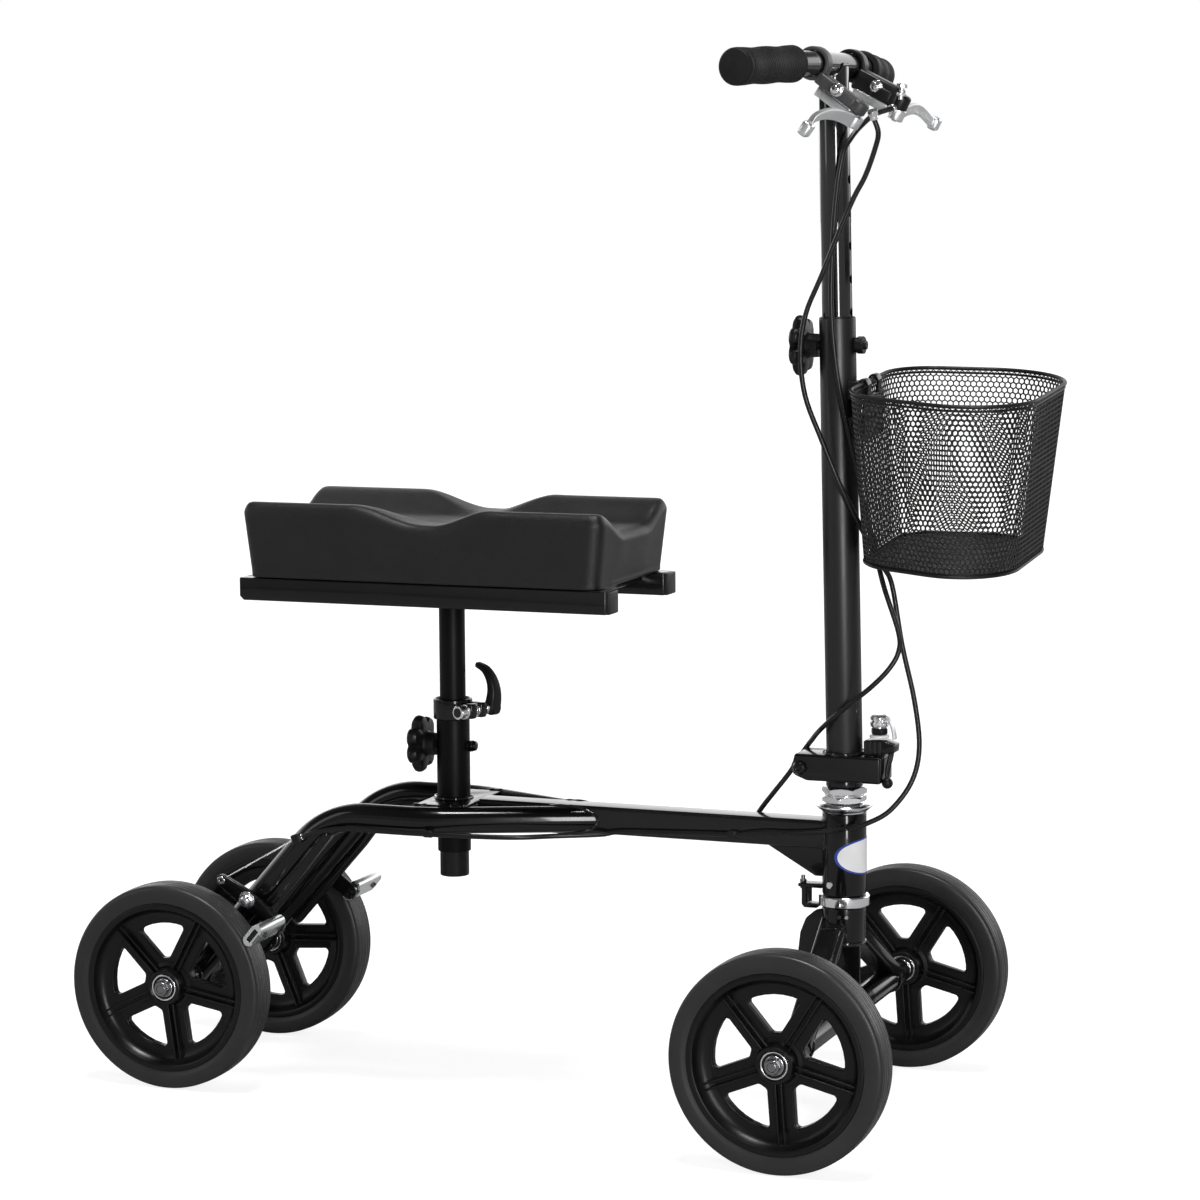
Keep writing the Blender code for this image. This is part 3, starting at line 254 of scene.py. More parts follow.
def in_scene(name, data):
    """A new object, linked into the scene."""
    made = bpy.data.objects.new(name, data)
    bpy.context.scene.collection.objects.link(made)
    return made


def evaluated(made):
    """A copy of an object's mesh with its modifiers applied."""
    bpy.context.view_layer.update()
    return bpy.data.meshes.new_from_object(made.evaluated_get(bpy.context.evaluated_depsgraph_get()))


def at(x, y, z):
    return Matrix.Translation((x, y, z))


def spun(angle, axis):
    return Matrix.Rotation(angle, 4, axis)


def aimed(start, way, up="Y"):
    """Takes local +Z along a way, from a start."""
    return Matrix.Translation(Vector(start)) @ Vector(way).to_track_quat("Z", up).to_matrix().to_4x4()


def piece(name, shape, finish, body, stands_for=(), sharp=32):
    """A finished piece: its mesh in place, shaded, riding on its body when that is named, else fixed where it
    stands.
    """
    mesh = joined(*shape) if isinstance(shape, (list, tuple)) else shape
    made = in_scene(name, mesh)
    mesh.transform(Matrix.Translation(BASE))
    mesh.materials.clear()
    mesh.materials.append(finish)
    mesh.shade_smooth()
    mesh.set_sharp_from_angle(angle=math.radians(sharp))
    if isinstance(body, str):
        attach(made, body)
    else:
        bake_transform(made)
    if stands_for:
        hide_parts(*stands_for)
    return made


def loft(rings, caps=True, loop=False):
    """A skin over rings of points, which all have as many."""
    work = bmesh.new()
    rows = [[work.verts.new(point) for point in ring] for ring in rings]
    count = len(rows[0])
    pairs = list(zip(rows, rows[1:])) + ([(rows[-1], rows[0])] if loop else [])
    for low, high in pairs:
        for i in range(count):
            j = (i + 1) % count
            work.faces.new((low[i], low[j], high[j], high[i]))
    if caps and not loop:
        work.faces.new(rows[0][::-1])
        work.faces.new(rows[-1])
    bmesh.ops.remove_doubles(work, verts=work.verts, dist=1e-7)
    bmesh.ops.recalc_face_normals(work, faces=work.faces)
    return to_mesh(work)


def lathe(profile, steps=72, loop=False):
    """A (radius, height) line turned about Z; loop closes it into a ring."""
    turns = [2 * math.pi * i / steps for i in range(steps)]
    rings = [[(r * math.cos(a), r * math.sin(a), z) for a in turns] for r, z in profile]
    return loft(rings, loop=loop)


def turned(profile, edge, curve, steps):
    """A turned solid whose profile's corners are rounded."""
    return lathe(flat_rounded(profile, edge, curve), steps)


def rounded(points, radius, steps=4, closed=False):
    """A line or outline with its corners turned into arcs, as far as their sides allow."""
    points = [Vector((*p, 0)) if len(p) == 2 else Vector(p) for p in points]
    count = len(points)
    path = [] if closed else [points[0]]
    for i in range(0 if closed else 1, count if closed else count - 1):
        corner = points[i]
        back, ahead = points[i - 1] - corner, points[(i + 1) % count] - corner
        room = 0.49 * min(back.length, ahead.length)
        back.normalize()
        ahead.normalize()
        half = back.angle(ahead) / 2
        if half > 1.56:
            path.append(corner)
            continue
        reach = min(radius / math.tan(half), room)
        size = reach * math.tan(half)
        middle = corner + (back + ahead).normalized() * (size / math.sin(half))
        start, end = corner + back * reach - middle, corner + ahead * reach - middle
        path += [middle + start.lerp(end, k / steps).normalized() * size for k in range(steps + 1)]
    return path if closed else path + [points[-1]]


def flat_rounded(points, radius, steps=4):
    """The same for a turned profile, as (radius, height) pairs."""
    return [(p.x, p.y) for p in rounded(points, radius, steps)]


def arc(centre, radius, start, end, steps):
    angles = [math.radians(start + (end - start) * i / steps) for i in range(steps + 1)]
    return [(centre[0] + radius * math.cos(a), centre[1] + radius * math.sin(a)) for a in angles]


def circle(centre, radius, steps=48):
    return arc(centre, radius, 0, 360 * (steps - 1) / steps, steps - 1)


def stadium(start, end, r_start, r_end, steps=12):
    """The outline round two circles of unlike size."""
    heading = math.degrees(math.atan2(end[1] - start[1], end[0] - start[0]))
    return arc(end, r_end, heading - 87, heading + 87, steps) \
        + arc(start, r_start, heading + 93, heading + 267, steps)


def smooth(points, steps=6):
    """A Catmull-Rom curve through the points."""
    points = [Vector(p) for p in points]
    ends = [points[0] * 2 - points[1]] + points + [points[-1] * 2 - points[-2]]
    path = []
    for a, b, c, d in zip(ends, ends[1:], ends[2:], ends[3:]):
        for i in range(steps):
            t = i / steps
            path.append(0.5 * (2 * b + (c - a) * t + (2 * a - 5 * b + 4 * c - d) * t * t
                               + (3 * b - a - 3 * c + d) * t ** 3))
    return path + [points[-1]]


ROUND = circle((0, 0), 1.0, 24)
SQUARE = [(p.x, p.y) for p in rounded([(-1, -1), (1, -1), (1, 1), (-1, 1)], 0.45, 4, closed=True)]


def sweep(path, size, section=ROUND, up=(0, 0, 1), bulge=0.3, loop=False):
    """A bar along a path. size is its half width, or (across up, along up), or one for each point."""
    path = [Vector(p) for p in path]
    sizes = size if isinstance(size, list) else [size] * len(path)
    sizes = [s if isinstance(s, tuple) else (s, s) for s in sizes]
    last = len(path) - 1
    rings, side = [], None
    for i, (point, (across, along)) in enumerate(zip(path, sizes)):
        before = path[i - 1] if i or loop else path[0]
        after = path[(i + 1) % len(path)] if i < last or loop else path[last]
        way = (after - before).normalized()
        if side is None:
            side = way.cross(Vector(up))
            side = side if side.length > 0.01 else way.orthogonal()
        side = (side - way * side.dot(way)).normalized()
        top = side.cross(way)
        stages = [(0.0, 1.0)]
        if bulge and not loop and i in (0, last):
            turns = [math.radians(a) for a in (75, 50, 25, 0)]
            stages = [(math.sin(a) * bulge, 1 - bulge * (1 - math.cos(a))) for a in turns]
            if i == last:
                stages.reverse()
        for out, scale in stages:
            shift = way * out * min(across, along) * (1 if i else -1)
            rings.append([point + shift + side * (x * across * scale) + top * (y * along * scale)
                          for x, y in section])
    return loft(rings, loop=loop)


def slab(outline, thickness, bevel=0.0006, holes=()):
    """A flat plate in XY with rounded edges."""
    curve = bpy.data.curves.new("slab", "CURVE")
    curve.dimensions = "2D"
    curve.fill_mode = "BOTH"
    curve.extrude = thickness / 2 - bevel
    curve.bevel_depth = bevel
    curve.bevel_resolution = 2
    curve.offset = -bevel
    for line in (outline, *holes):
        spline = curve.splines.new("POLY")
        spline.points.add(len(line) - 1)
        for node, point in zip(spline.points, line):
            node.co = (point[0], point[1], 0, 1)
        spline.use_cyclic_u = True
    made = in_scene("slab", curve)
    mesh = evaluated(made)
    bpy.data.objects.remove(made, do_unlink=True)
    work = bmesh.new()
    work.from_mesh(mesh)
    bmesh.ops.remove_doubles(work, verts=work.verts, dist=1e-6)
    bmesh.ops.recalc_face_normals(work, faces=work.faces)
    return to_mesh(work)


def side_slab(outline, thickness, y=0.0, bevel=0.0006, holes=()):
    """The same with its outline in XZ, centred on a Y."""
    return moved(slab(outline, thickness, bevel, holes), at(0, y, 0) @ spun(QUARTER, "X"))


def block(low, high, bevel=0.0008):
    """A box with rounded edges."""
    low, high = Vector(low), Vector(high)
    work = bmesh.new()
    bmesh.ops.create_cube(work, size=1)
    bmesh.ops.scale(work, vec=high - low, verts=work.verts)
    bmesh.ops.translate(work, vec=(low + high) / 2, verts=work.verts)
    bmesh.ops.bevel(work, geom=work.edges[:], offset=bevel, segments=3, profile=0.5, affect="EDGES")
    return to_mesh(work)


def rod(start, end, radius, edge=0.0006, steps=40):
    """A round bar with softened ends."""
    start, end = Vector(start), Vector(end)
    length = (end - start).length
    profile = flat_rounded([(0, 0), (radius, 0), (radius, length), (0, length)], edge)
    return moved(lathe(profile, steps), aimed(start, end - start))


def tube(radius, bore, low, high, edge=0.0008, steps=72):
    """A pipe along Z with softened mouths."""
    line = rounded([(bore, low), (radius, low), (radius, high), (bore, high)], edge, 3, closed=True)
    return lathe([(p.x, p.y) for p in line], steps, loop=True)


def nut(corner, height, bore=0.0, sides=6, chamfer=0.0012):
    """A nut along Z whose chamfers scallop its flats."""
    flat = corner * math.cos(math.pi / sides)
    steps = sides * 12
    levels = [(0.0, 0.97 * flat)] + [(chamfer * k / 3, flat + (corner - flat) * k / 3) for k in range(4)]
    levels += [(height - z, limit) for z, limit in reversed(levels)]
    rings = []
    for z, limit in levels:
        ring = []
        for i in range(steps):
            turn = 2 * math.pi * i / steps
            within = turn % (2 * math.pi / sides) - math.pi / sides
            reach = min(flat / math.cos(within), limit)
            ring.append((reach * math.cos(turn), reach * math.sin(turn), z))
        rings.append(ring)
    if not bore:
        return loft(rings)
    inner = [(math.cos(2 * math.pi * i / steps) * bore, math.sin(2 * math.pi * i / steps) * bore)
             for i in range(steps)]
    rings += [[(x, y, z) for x, y in inner] for z in (height, 0.0)]
    return loft(rings, loop=True)


def carved(mesh, *tools, how="DIFFERENCE"):
    """A mesh cut by, or joined with, other closed meshes."""
    made = [in_scene("carving", shape) for shape in (mesh, *tools)]
    for tool in made[1:]:
        step = made[0].modifiers.new("cut", "BOOLEAN")
        step.operation = how
        step.object = tool
        step.solver = "EXACT"
    result = evaluated(made[0])
    for item in made:
        bpy.data.objects.remove(item, do_unlink=True)
    return result


def weld(path, size=0.0016, loop=True):
    """A rippled bead of weld along a line."""
    sizes = [size * (1 + 0.16 * math.sin(i * 1.3) + 0.1 * CHANCE.uniform(-1, 1)) for i in range(len(path))]
    return sweep(path, sizes, circle((0, 0), 1.0, 10), loop=loop)


def ring_path(centre, radius, axis="Z", steps=48, squeeze=(1.0, 1.0)):
    """Points round a circle or an ellipse about an axis."""
    points = []
    for i in range(steps):
        angle = 2 * math.pi * i / steps
        a, b = radius * squeeze[0] * math.cos(angle), radius * squeeze[1] * math.sin(angle)
        offset = {"X": (0, a, b), "Y": (a, 0, b), "Z": (a, b, 0)}[axis]
        points.append(Vector(centre) + Vector(offset))
    return points


# ---------------------------------------------------------------- wheels and axles
SPOKES = 5
# how far each wheel is turned, in degrees
PHASES = {"rear_right": -10, "rear_left": 4, "front_right": -14, "front_left": -14}
TREAD_HALF = 0.0175
WEB_HALF = 0.0045
HUB_HALF = 0.017


def tyre_shape():
    """A solid tyre with four fine grooves round its tread."""
    half = [(0.0822, 0.014), (0.0826, 0.0158), (0.0846, 0.0163), (0.0862, 0.017), (0.088, TREAD_HALF),
            (0.0945, 0.0173), (0.097, 0.0168), (0.0984, 0.0158), (0.0991, 0.0147), (0.0994, 0.0134),
            (0.0995, 0.0124), (0.0989, 0.0119), (0.0989, 0.0114), (0.0996, 0.0109), (0.0999, 0.007),
            (0.0992, 0.0065), (0.0992, 0.006), (0.0999, 0.0055), (0.1, 0.0022), (0.0993, 0.0017),
            (0.0993, 0.0012), (0.1, 0.0007)]
    return lathe([(r, -z) for r, z in half] + [(r, z) for r, z in reversed(half)], 144, loop=True)


def window(middle):
    """One opening between two spokes, in the wheel's own plane."""
    outline = [arc((0, 0), 0.0612, middle + turn, middle + turn, 1)[0]
               for turn in (-24.5, -16, -8, 0, 8, 16, 24.5)]
    outline += [arc((0, 0), 0.0272, middle + turn, middle + turn, 1)[0] for turn in (9, -9)]
    return rounded(outline, 0.0042, 4, closed=True)


def rim_shape():
    """A dished rim: flange, web with five windows, twin ribs on each spoke, and hub."""
    half = [(0.0826, 0.0), (0.0826, 0.015), (0.082, 0.016), (0.0805, 0.0165), (0.0782, 0.0165),
            (0.0768, 0.0158), (0.0758, 0.0136), (0.0742, 0.0102), (0.0715, 0.0074), (0.068, 0.0058),
            (0.0632, 0.005), (0.0625, 0.003)]
    flange = lathe([(r, z) for r, z in half] + [(r, -z) for r, z in reversed(half[1:])], 144, loop=True)
    windows = [window(360 / SPOKES * (spoke + 0.5)) for spoke in range(SPOKES)]
    web = slab(circle((0, 0), 0.069, 120), 2 * WEB_HALF + 0.0004, 0.0014, windows)
    hub_half = [(0.013, 0.0), (0.013, 0.016), (0.0142, 0.017), (0.0158, 0.017), (0.0168, 0.0162),
                (0.0172, 0.0148), (0.018, 0.009), (0.0196, 0.0062), (0.0232, 0.0052), (0.024, 0.004)]
    hub = lathe([(r, z) for r, z in hub_half] + [(r, -z) for r, z in reversed(hub_half[1:])], 96, loop=True)
    shapes = [flange, web, hub]
    for spoke in range(SPOKES):
        for offset in (-0.0028, 0.0028):
            rib = block((0.016, offset - 0.0009, -0.0098), (0.0762, offset + 0.0009, 0.0098), 0.0006)
            shapes.append(moved(rib, spun(2 * math.pi * spoke / SPOKES, "Z")))
    return joined(*shapes)


def bearing_shape():
    """Both bearings' faces: an outer ring, a seal and an inner ring."""
    shapes = []
    for sign in (-1, 1):
        for outer, inner, face in ((0.0128, 0.0112, 0.0166), (0.009, 0.0056, 0.0168)):
            shapes.append(moved(tube(outer, inner, 0.01, face, 0.0005, 64),
                                spun(0 if sign > 0 else math.pi, "X")))
    return joined(*shapes)


def seal_shape():
    return joined(*[moved(tube(0.0113, 0.0088, 0.01, 0.0158, 0.0003, 64), spun(turn, "X"))
                    for turn in (0, math.pi)])


def wheels():
    tyre, rim, bearings, seals = tyre_shape(), rim_shape(), bearing_shape(), seal_shape()
    for corner, phase in PHASES.items():
        centre = joint_at(f"{corner}_spin")
        place = Matrix.Translation(centre) @ spun(-math.radians(phase), "Y") @ spun(QUARTER, "X")
        body = f"{corner}_wheel"
        piece(f"{corner}_tread", copied(tyre, place), RUBBER, body, [f"{corner}_tyre"])
        piece(f"{corner}_spokes", copied(rim, place), RIM, body, [f"{corner}_rim"])
        piece(f"{corner}_bearings", copied(bearings, place), CHROME, body)
        piece(f"{corner}_bearing_seals", copied(seals, place), PLASTIC, body)


def axle(name, node, x, track, body):
    """A through bolt with a washer, a hexagon nut and its own domed end at each wheel."""
    out = track / 2 + HUB_HALF
    shapes = [rod((x, -out - 0.0062, WHEEL_RADIUS), (x, out + 0.0062, WHEEL_RADIUS), 0.0046, 0.0012)]
    for sign in (-1, 1):
        face = aimed((x, sign * (out + 0.0002), WHEEL_RADIUS), (0, sign, 0))
        shapes.append(moved(tube(0.0086, 0.0045, 0, 0.0011, 0.0003), face))
        shapes.append(moved(nut(0.0074, 0.005, 0.0044), face @ at(0, 0, 0.0011)))
        inner = aimed((x, sign * (out - 2 * HUB_HALF - 0.0046), WHEEL_RADIUS), (0, sign, 0))
        shapes.append(moved(tube(0.008, 0.0045, 0, 0.0042, 0.0005), inner))
    piece(name, shapes, ZINC, body, [node])


# ---------------------------------------------------------------- frame
def beam():
    """The square main tube, open behind, with the gusset under its nose."""
    half_y, middle_z = BEAM_HIGH.y, (0.2545 + BEAM_HIGH.z) / 2
    half_z = BEAM_HIGH.z - middle_z

    def section(x, inset, radius):
        y, z = half_y - inset, half_z - inset
        line = rounded([(-y, -z), (y, -z), (y, z), (-y, z)], radius, 5, closed=True)
        return [(x, p.x, middle_z + p.y) for p in line]

    rear = BEAM_LOW.x
    shell = loft([section(rear + 0.05, 0.002, 0.0015), section(rear + 0.0004, 0.002, 0.0015),
                  section(rear, 0.0016, 0.0018), section(rear, 0.0004, 0.003),
                  section(rear + 0.0004, 0.0, 0.0034), section(STEER_X - 0.006, 0.0, 0.0034)])
    gusset = [(0.57, 0.26), (0.57, 0.255), (0.618, 0.2275), (0.63, 0.2275), (0.63, 0.26)]
    piece("beam_and_gusset", [shell, side_slab(gusset, 0.016, 0, 0.001)], PAINT, "frame", ["main_beam"])
    nose = ring_path((STEER_X - 0.0205, 0, middle_z), 1.0, "X", 64, (half_y, half_z + 0.0004))
    seam = []
    for point in nose:
        side = max(-half_y, min(half_y, 1.35 * point.y))
        up = max(-half_z, min(half_z, 1.35 * (point.z - middle_z)))
        seam.append((STEER_X - math.sqrt(HEAD_RADIUS ** 2 - side * side), side, middle_z + up))
    welds = [weld(seam, 0.0016)]
    for sign in (-1, 1):
        ellipse = ring_path((0.3706, sign * half_y, SIDE_Z), 0.0129, "Y", 72, (2.62, 1.0))
        welds.append(weld(ellipse, 0.0017))
    welds.append(weld(ring_path((SEAT_X, 0, 0.2794), 0.0172), 0.0019))
    welds.append(weld(ring_path((SEAT_X, 0, 0.2525), 0.0168), 0.0012))
    piece("frame_welds", welds, BEAD, "frame")
    screw = moved(nut(0.0034, 0.002, chamfer=0.0006),
                  aimed((0.6363, -0.019, 0.222), (-0.375, -0.927, 0)))
    piece("head_tube_screw", screw, CHROME, "frame")


def head_set():
    body = "frame"
    low, high = cad_box("head_tube")
    centre = at(STEER_X, 0, 0)
    piece("head_tube_shell", moved(tube(HEAD_RADIUS, 0.0165, low.z, high.z, 0.001, 96), centre), PAINT, body,
          ["head_tube"])
    cup = flat_rounded([(0.0136, 0.2888), (0.0206, 0.2888), (0.0214, 0.2902), (0.0244, 0.2926),
                        (0.0262, 0.2944), (0.0262, 0.2954), (0.0246, 0.2968), (0.0218, 0.2975),
                        (0.0136, 0.2975)], 0.0006, 3)
    piece("upper_cup_flange", moved(lathe(cup, 96, loop=True), centre), CHROME, body, ["upper_headset_cup"])
    band = rounded([(0.0136, 0.201), (0.0228, 0.201), (0.0238, 0.202), (0.0238, 0.2098), (0.0228, 0.211),
                    (0.0136, 0.211)], 0.0007, 3, closed=True)
    slot = block((-0.0035, -0.026, 0.2035), (0.0035, -0.02, 0.208), 0.0003)
    lower = carved(lathe([(p.x, p.y) for p in band], 96, loop=True), moved(slot, spun(math.radians(14), "Z")))
    piece("lower_cup_band", moved(lower, centre), CHROME, body, ["lower_headset_cup"])
    outline = [(0.6262, 0.2196), (0.601, 0.2195), (0.601, 0.2165), (0.6045, 0.216), (0.6045, 0.1998),
               (0.607, 0.1968), (0.6198, 0.1968), (0.6198, 0.2005), (0.6105, 0.2005), (0.6105, 0.216),
               (0.624, 0.2157)]
    stop = side_slab(rounded(outline, 0.0012, 3, closed=True), 0.014, 0, 0.0005)
    piece("steering_stop_plate", stop, PAINT, body, ["steering_stop_bracket"])
    bolt = [rod((0.604, 0, 0.213), (0.604, 0, 0.2262), 0.0019),
            moved(nut(0.0034, 0.0028), at(0.604, 0, 0.2196)),
            moved(nut(0.0032, 0.0022), at(0.604, 0, 0.2138))]
    piece("steering_stop_bolt", bolt, ZINC, body)
    badge()


def badge():
    """A plain oval badge, white with a blue border, wrapped round the front of the head tube."""
    half_turn, half_height, middle = math.radians(99), 0.0172, 0.2488
    for name, inner, outer, finish, proud in (("badge_face", 0.0, 0.93, ENAMEL, 0.00035),
                                              ("badge_border", 0.92, 1.0, BLUE, 0.00045)):
        rings = []
        stages = [inner + (outer - inner) * i / 8 for i in range(9)]
        for stage, lift in [(stages[0], 0.0)] + [(s, proud) for s in stages] + [(outer, 0.0)]:
            ring = []
            for i in range(96):
                angle = 2 * math.pi * i / 96
                turn = half_turn * stage * math.cos(angle)
                reach = HEAD_RADIUS + lift
                ring.append((STEER_X + reach * math.cos(turn), reach * math.sin(turn),
                             middle + half_height * stage * math.sin(angle)))
            rings.append(ring)
        piece(name, loft(rings, caps=False), finish, "frame")


def side_tubes():
    for side, sign in SIDES:
        path = rounded([(0.403, sign * 0.001, SIDE_Z), (0.2494, sign * SIDE_Y, SIDE_Z),
                        (0.1465, sign * SIDE_Y, SIDE_Z), (-0.001, sign * SIDE_Y, WHEEL_RADIUS)], 0.085, 12)
        strut = rounded([(0.1465, sign * 0.07, 0.249), (0.119, sign * 0.0705, 0.214),
                         (0.046, sign * 0.0705, 0.1315)], 0.05, 6)
        shapes = [sweep(path, SIDE_RADIUS, circle((0, 0), 1.0, 48)),
                  sweep(strut, (0.0062, 0.0062), up=(0, 1, 0), bulge=0.7)]
        piece(f"side_tube_bar_{side}", shapes, PAINT, "frame", [f"side_tube_{side}"])
        screw_at = Vector((0.079, sign * 0.0762, 0.169))
        screw = [moved(tube(0.0042, 0.002, 0, 0.0012, 0.0004, 32), aimed(screw_at, (0, sign, 0))),
                 moved(nut(0.0021, 0.001, chamfer=0.0003), aimed(screw_at, (0, sign, 0)))]
        piece(f"strut_screw_{side}", screw, PAINT, "frame")
        foot = ring_path((0.0, sign * SIDE_Y, WHEEL_RADIUS), 0.0119, "Y", 40)
        shapes = [weld([p + Vector((0, offset, 0)) for p in foot], 0.0015)
                  for offset in (-0.012, 0.012)]
        piece(f"rear_foot_weld_{side}", shapes, BEAD, "frame")
    crossing = moved(tube(0.011, 0.006, -0.0925, 0.0925, 0.0008), at(0, 0, WHEEL_RADIUS) @ spun(QUARTER, "X"))
    piece("rear_axle_sleeve", crossing, PAINT, "frame", ["rear_axle_tube"])


def seat_tube():
    low, high = cad_box("seat_tube")
    centre = at(SEAT_X, 0, 0)
    way = rod((SEAT_X - 0.03, 0, SEAT_KNOB_Z), (SEAT_X + 0.03, 0, SEAT_KNOB_Z), 0.0045)
    shell = carved(moved(tube(SEAT_TUBE_RADIUS, 0.0143, low.z, high.z, 0.0007), centre), way)
    piece("seat_tube_shell", shell, DULL, "frame", ["seat_tube"])
    low, high = cad_box("seat_tube_bush")
    piece("seat_tube_liner", moved(tube(0.014, 0.0128, low.z, high.z, 0.0008), centre), PLASTIC, "frame",
          ["seat_tube_bush"])
    low, high = cad_box("seat_tube_plate")
    outline = rounded([(low.x, low.y), (high.x, low.y), (high.x, high.y), (low.x, high.y)], 0.004, 4,
                      closed=True)
    plate = moved(slab(outline, high.z - low.z, 0.0006, [circle((SEAT_X, 0), 0.0163)]),
                  at(0, 0, (low.z + high.z) / 2))
    piece("seat_tube_deck", plate, PAINT, "frame", ["seat_tube_plate"])
    dots = []
    for sign in (-1, 1):
        for x, y in ((0.236, 0.05), (0.274, 0.0478)):
            dots.append(weld([(x - 0.006 + 0.002 * i, sign * y, 0.2784) for i in range(7)], 0.0022,
                             loop=False))
        dots.append(weld([(0.2812, sign * (0.0125 + 0.002 * i), 0.2782) for i in range(5)], 0.0018,
                         loop=False))
    piece("deck_welds", dots, BEAD, "frame")
    front = aimed((SEAT_X + SEAT_TUBE_RADIUS + GAP, 0, SEAT_KNOB_Z), (1, 0, 0))
    boss = nut(0.006, 0.005, chamfer=0.001)
    cap = turned([(0, 0.004), (0.005, 0.004), (0.0046, 0.0078), (0, 0.0092)], 0.0016, 5, 48)
    piece("seat_knob_boss", all_moved([boss, cap], front), PAINT, "frame", ["seat_knob_nut"])
    seat_clamp()


def seat_clamp():
    """The collar, its ears and its cam bolt."""
    turn = at(SEAT_X, 0, CLAMP_Z) @ spun(CLAMP_TURN, "Z")
    band = tube(0.0188, 0.0163, -0.0098, 0.0098, 0.001, 96)
    ears = [block((0.0165, y, -0.0072), (CLAMP_OUT + 0.0066, y + 0.0085, 0.0072), 0.0022) for y in (-0.008,
                                                                                                    0.0054)]
    piece("seat_clamp_band", all_moved([band, *ears], turn), PAINT, "frame", ["seat_clamp_collar"])
    across = turn @ at(CLAMP_OUT, 0, 0) @ spun(-QUARTER, "X")
    rows = flat_rounded([(0, -0.0205), (0.0062, -0.0205), (0.0072, -0.0195), (0.0072, -0.0125),
                         (0.0068, -0.0115), (0.0068, -0.0095), (0.004, -0.009), (0.0026, -0.0085),
                         (0.0026, 0.0145), (0.006, 0.0148), (0.0064, 0.016), (0.0052, 0.0198),
                         (0, 0.0198)], 0.0006, 3)
    collars = [tube(0.0067, 0.0026, z, z + 0.0016, 0.0004, 48) for z in (0.0002, 0.003)]
    head = nut(0.0064, 0.004)
    shapes = [lathe(rows, 60), *collars, moved(head, at(0, 0, -0.013))]
    piece("seat_clamp_stud", all_moved(shapes, across), CHROME, "frame", ["seat_clamp_bolt"])
    socket = moved(lathe([(0, -0.0209), (0.0046, -0.0209), (0.0046, -0.02), (0, -0.02)], 40), across)
    piece("seat_clamp_socket", socket, PLASTIC, "frame")
    hub = turned([(0, -0.0068), (0.0064, -0.0068), (0.0064, 0.0068), (0, 0.0068)], 0.0014, 4, 48)
    path = smooth([(CLAMP_OUT - 0.0005, 0.027, -0.003), (CLAMP_OUT + 0.0022, 0.0272, 0.008),
                   (CLAMP_OUT + 0.0024, 0.0275, 0.018), (CLAMP_OUT - 0.001, 0.0275, 0.028),
                   (CLAMP_OUT - 0.0082, 0.0272, 0.0362), (CLAMP_OUT - 0.018, 0.0268, 0.04)], 5)
    sizes = []
    for i in range(len(path)):
        along = i / (len(path) - 1)
        sizes.append((0.0076 - 0.0042 * along, 0.0062 - 0.0036 * along))
    blade = sweep(path, sizes, SQUARE, up=(1, 0, 0.3), bulge=0.6)
    shapes = [moved(hub, at(CLAMP_OUT, 0.027, 0) @ spun(QUARTER, "Y")), blade]
    piece("seat_clamp_handle", all_moved(shapes, turn), PLASTIC, "seat_clamp_lever",
          ["seat_clamp_lever"])


def hand_knob(name, body, node, start, stub):
    """A seven-lobed knob on its screw, pointing to -X."""
    rows = [(0.0, -0.0248), (0.008, -0.0248), (0.009, -0.024), (0.018, -0.0236), (0.0222, -0.0226),
            (0.0243, -0.0206), (0.025, -0.018), (0.0246, -0.015), (0.0232, -0.0124), (0.0205, -0.0114),
            (0.012, -0.0108), (0.0105, -0.009), (0.01, -0.0008), (0.0, -0.0008)]
    lobes, steps = 7, 112
    rings = []
    for radius, x in rows:
        radius *= 1.07
        wave = 0.0022 * (radius / 0.025) ** 3
        ring = []
        for i in range(steps):
            angle = 2 * math.pi * i / steps
            scallop = 1 - 2.2 * max(0.0, -math.cos(lobes * angle)) ** 2 * wave / 0.0022 * 0.06
            reach = radius * scallop + wave * math.cos(lobes * angle) * 0.6
            ring.append((x, reach * math.cos(angle), reach * math.sin(angle)))
        rings.append(ring)
    shapes = [loft(rings), rod((-0.002, 0, 0), (stub, 0, 0), 0.004)]
    piece(name, all_moved(shapes, at(*start)), PLASTIC, body, [node])


# ---------------------------------------------------------------- seat
def pad_top(x, y):
    """The pad's top: a trough along its length for the shin, and a dip between two side humps."""
    along = (x - PAD_LOW.x) / (PAD_HIGH.x - PAD_LOW.x)

    def ease(value, low, high):
        share = max(0.0, min(1.0, (value - low) / (high - low)))
        return share * share * (3 - 2 * share)

    dip = 0.0168 * ease(along, 0.31, 0.5) * (1 - ease(along, 0.53, 0.69))
    slope = 0.002 * ease(along, 0.45, 0.75)
    trough = 0.0195 * (1 - ease(abs(y), 0.03, 0.084))
    return PAD_HIGH.z - 0.0006 - slope - (dip ** 4 + trough ** 4) ** (1 / 4)


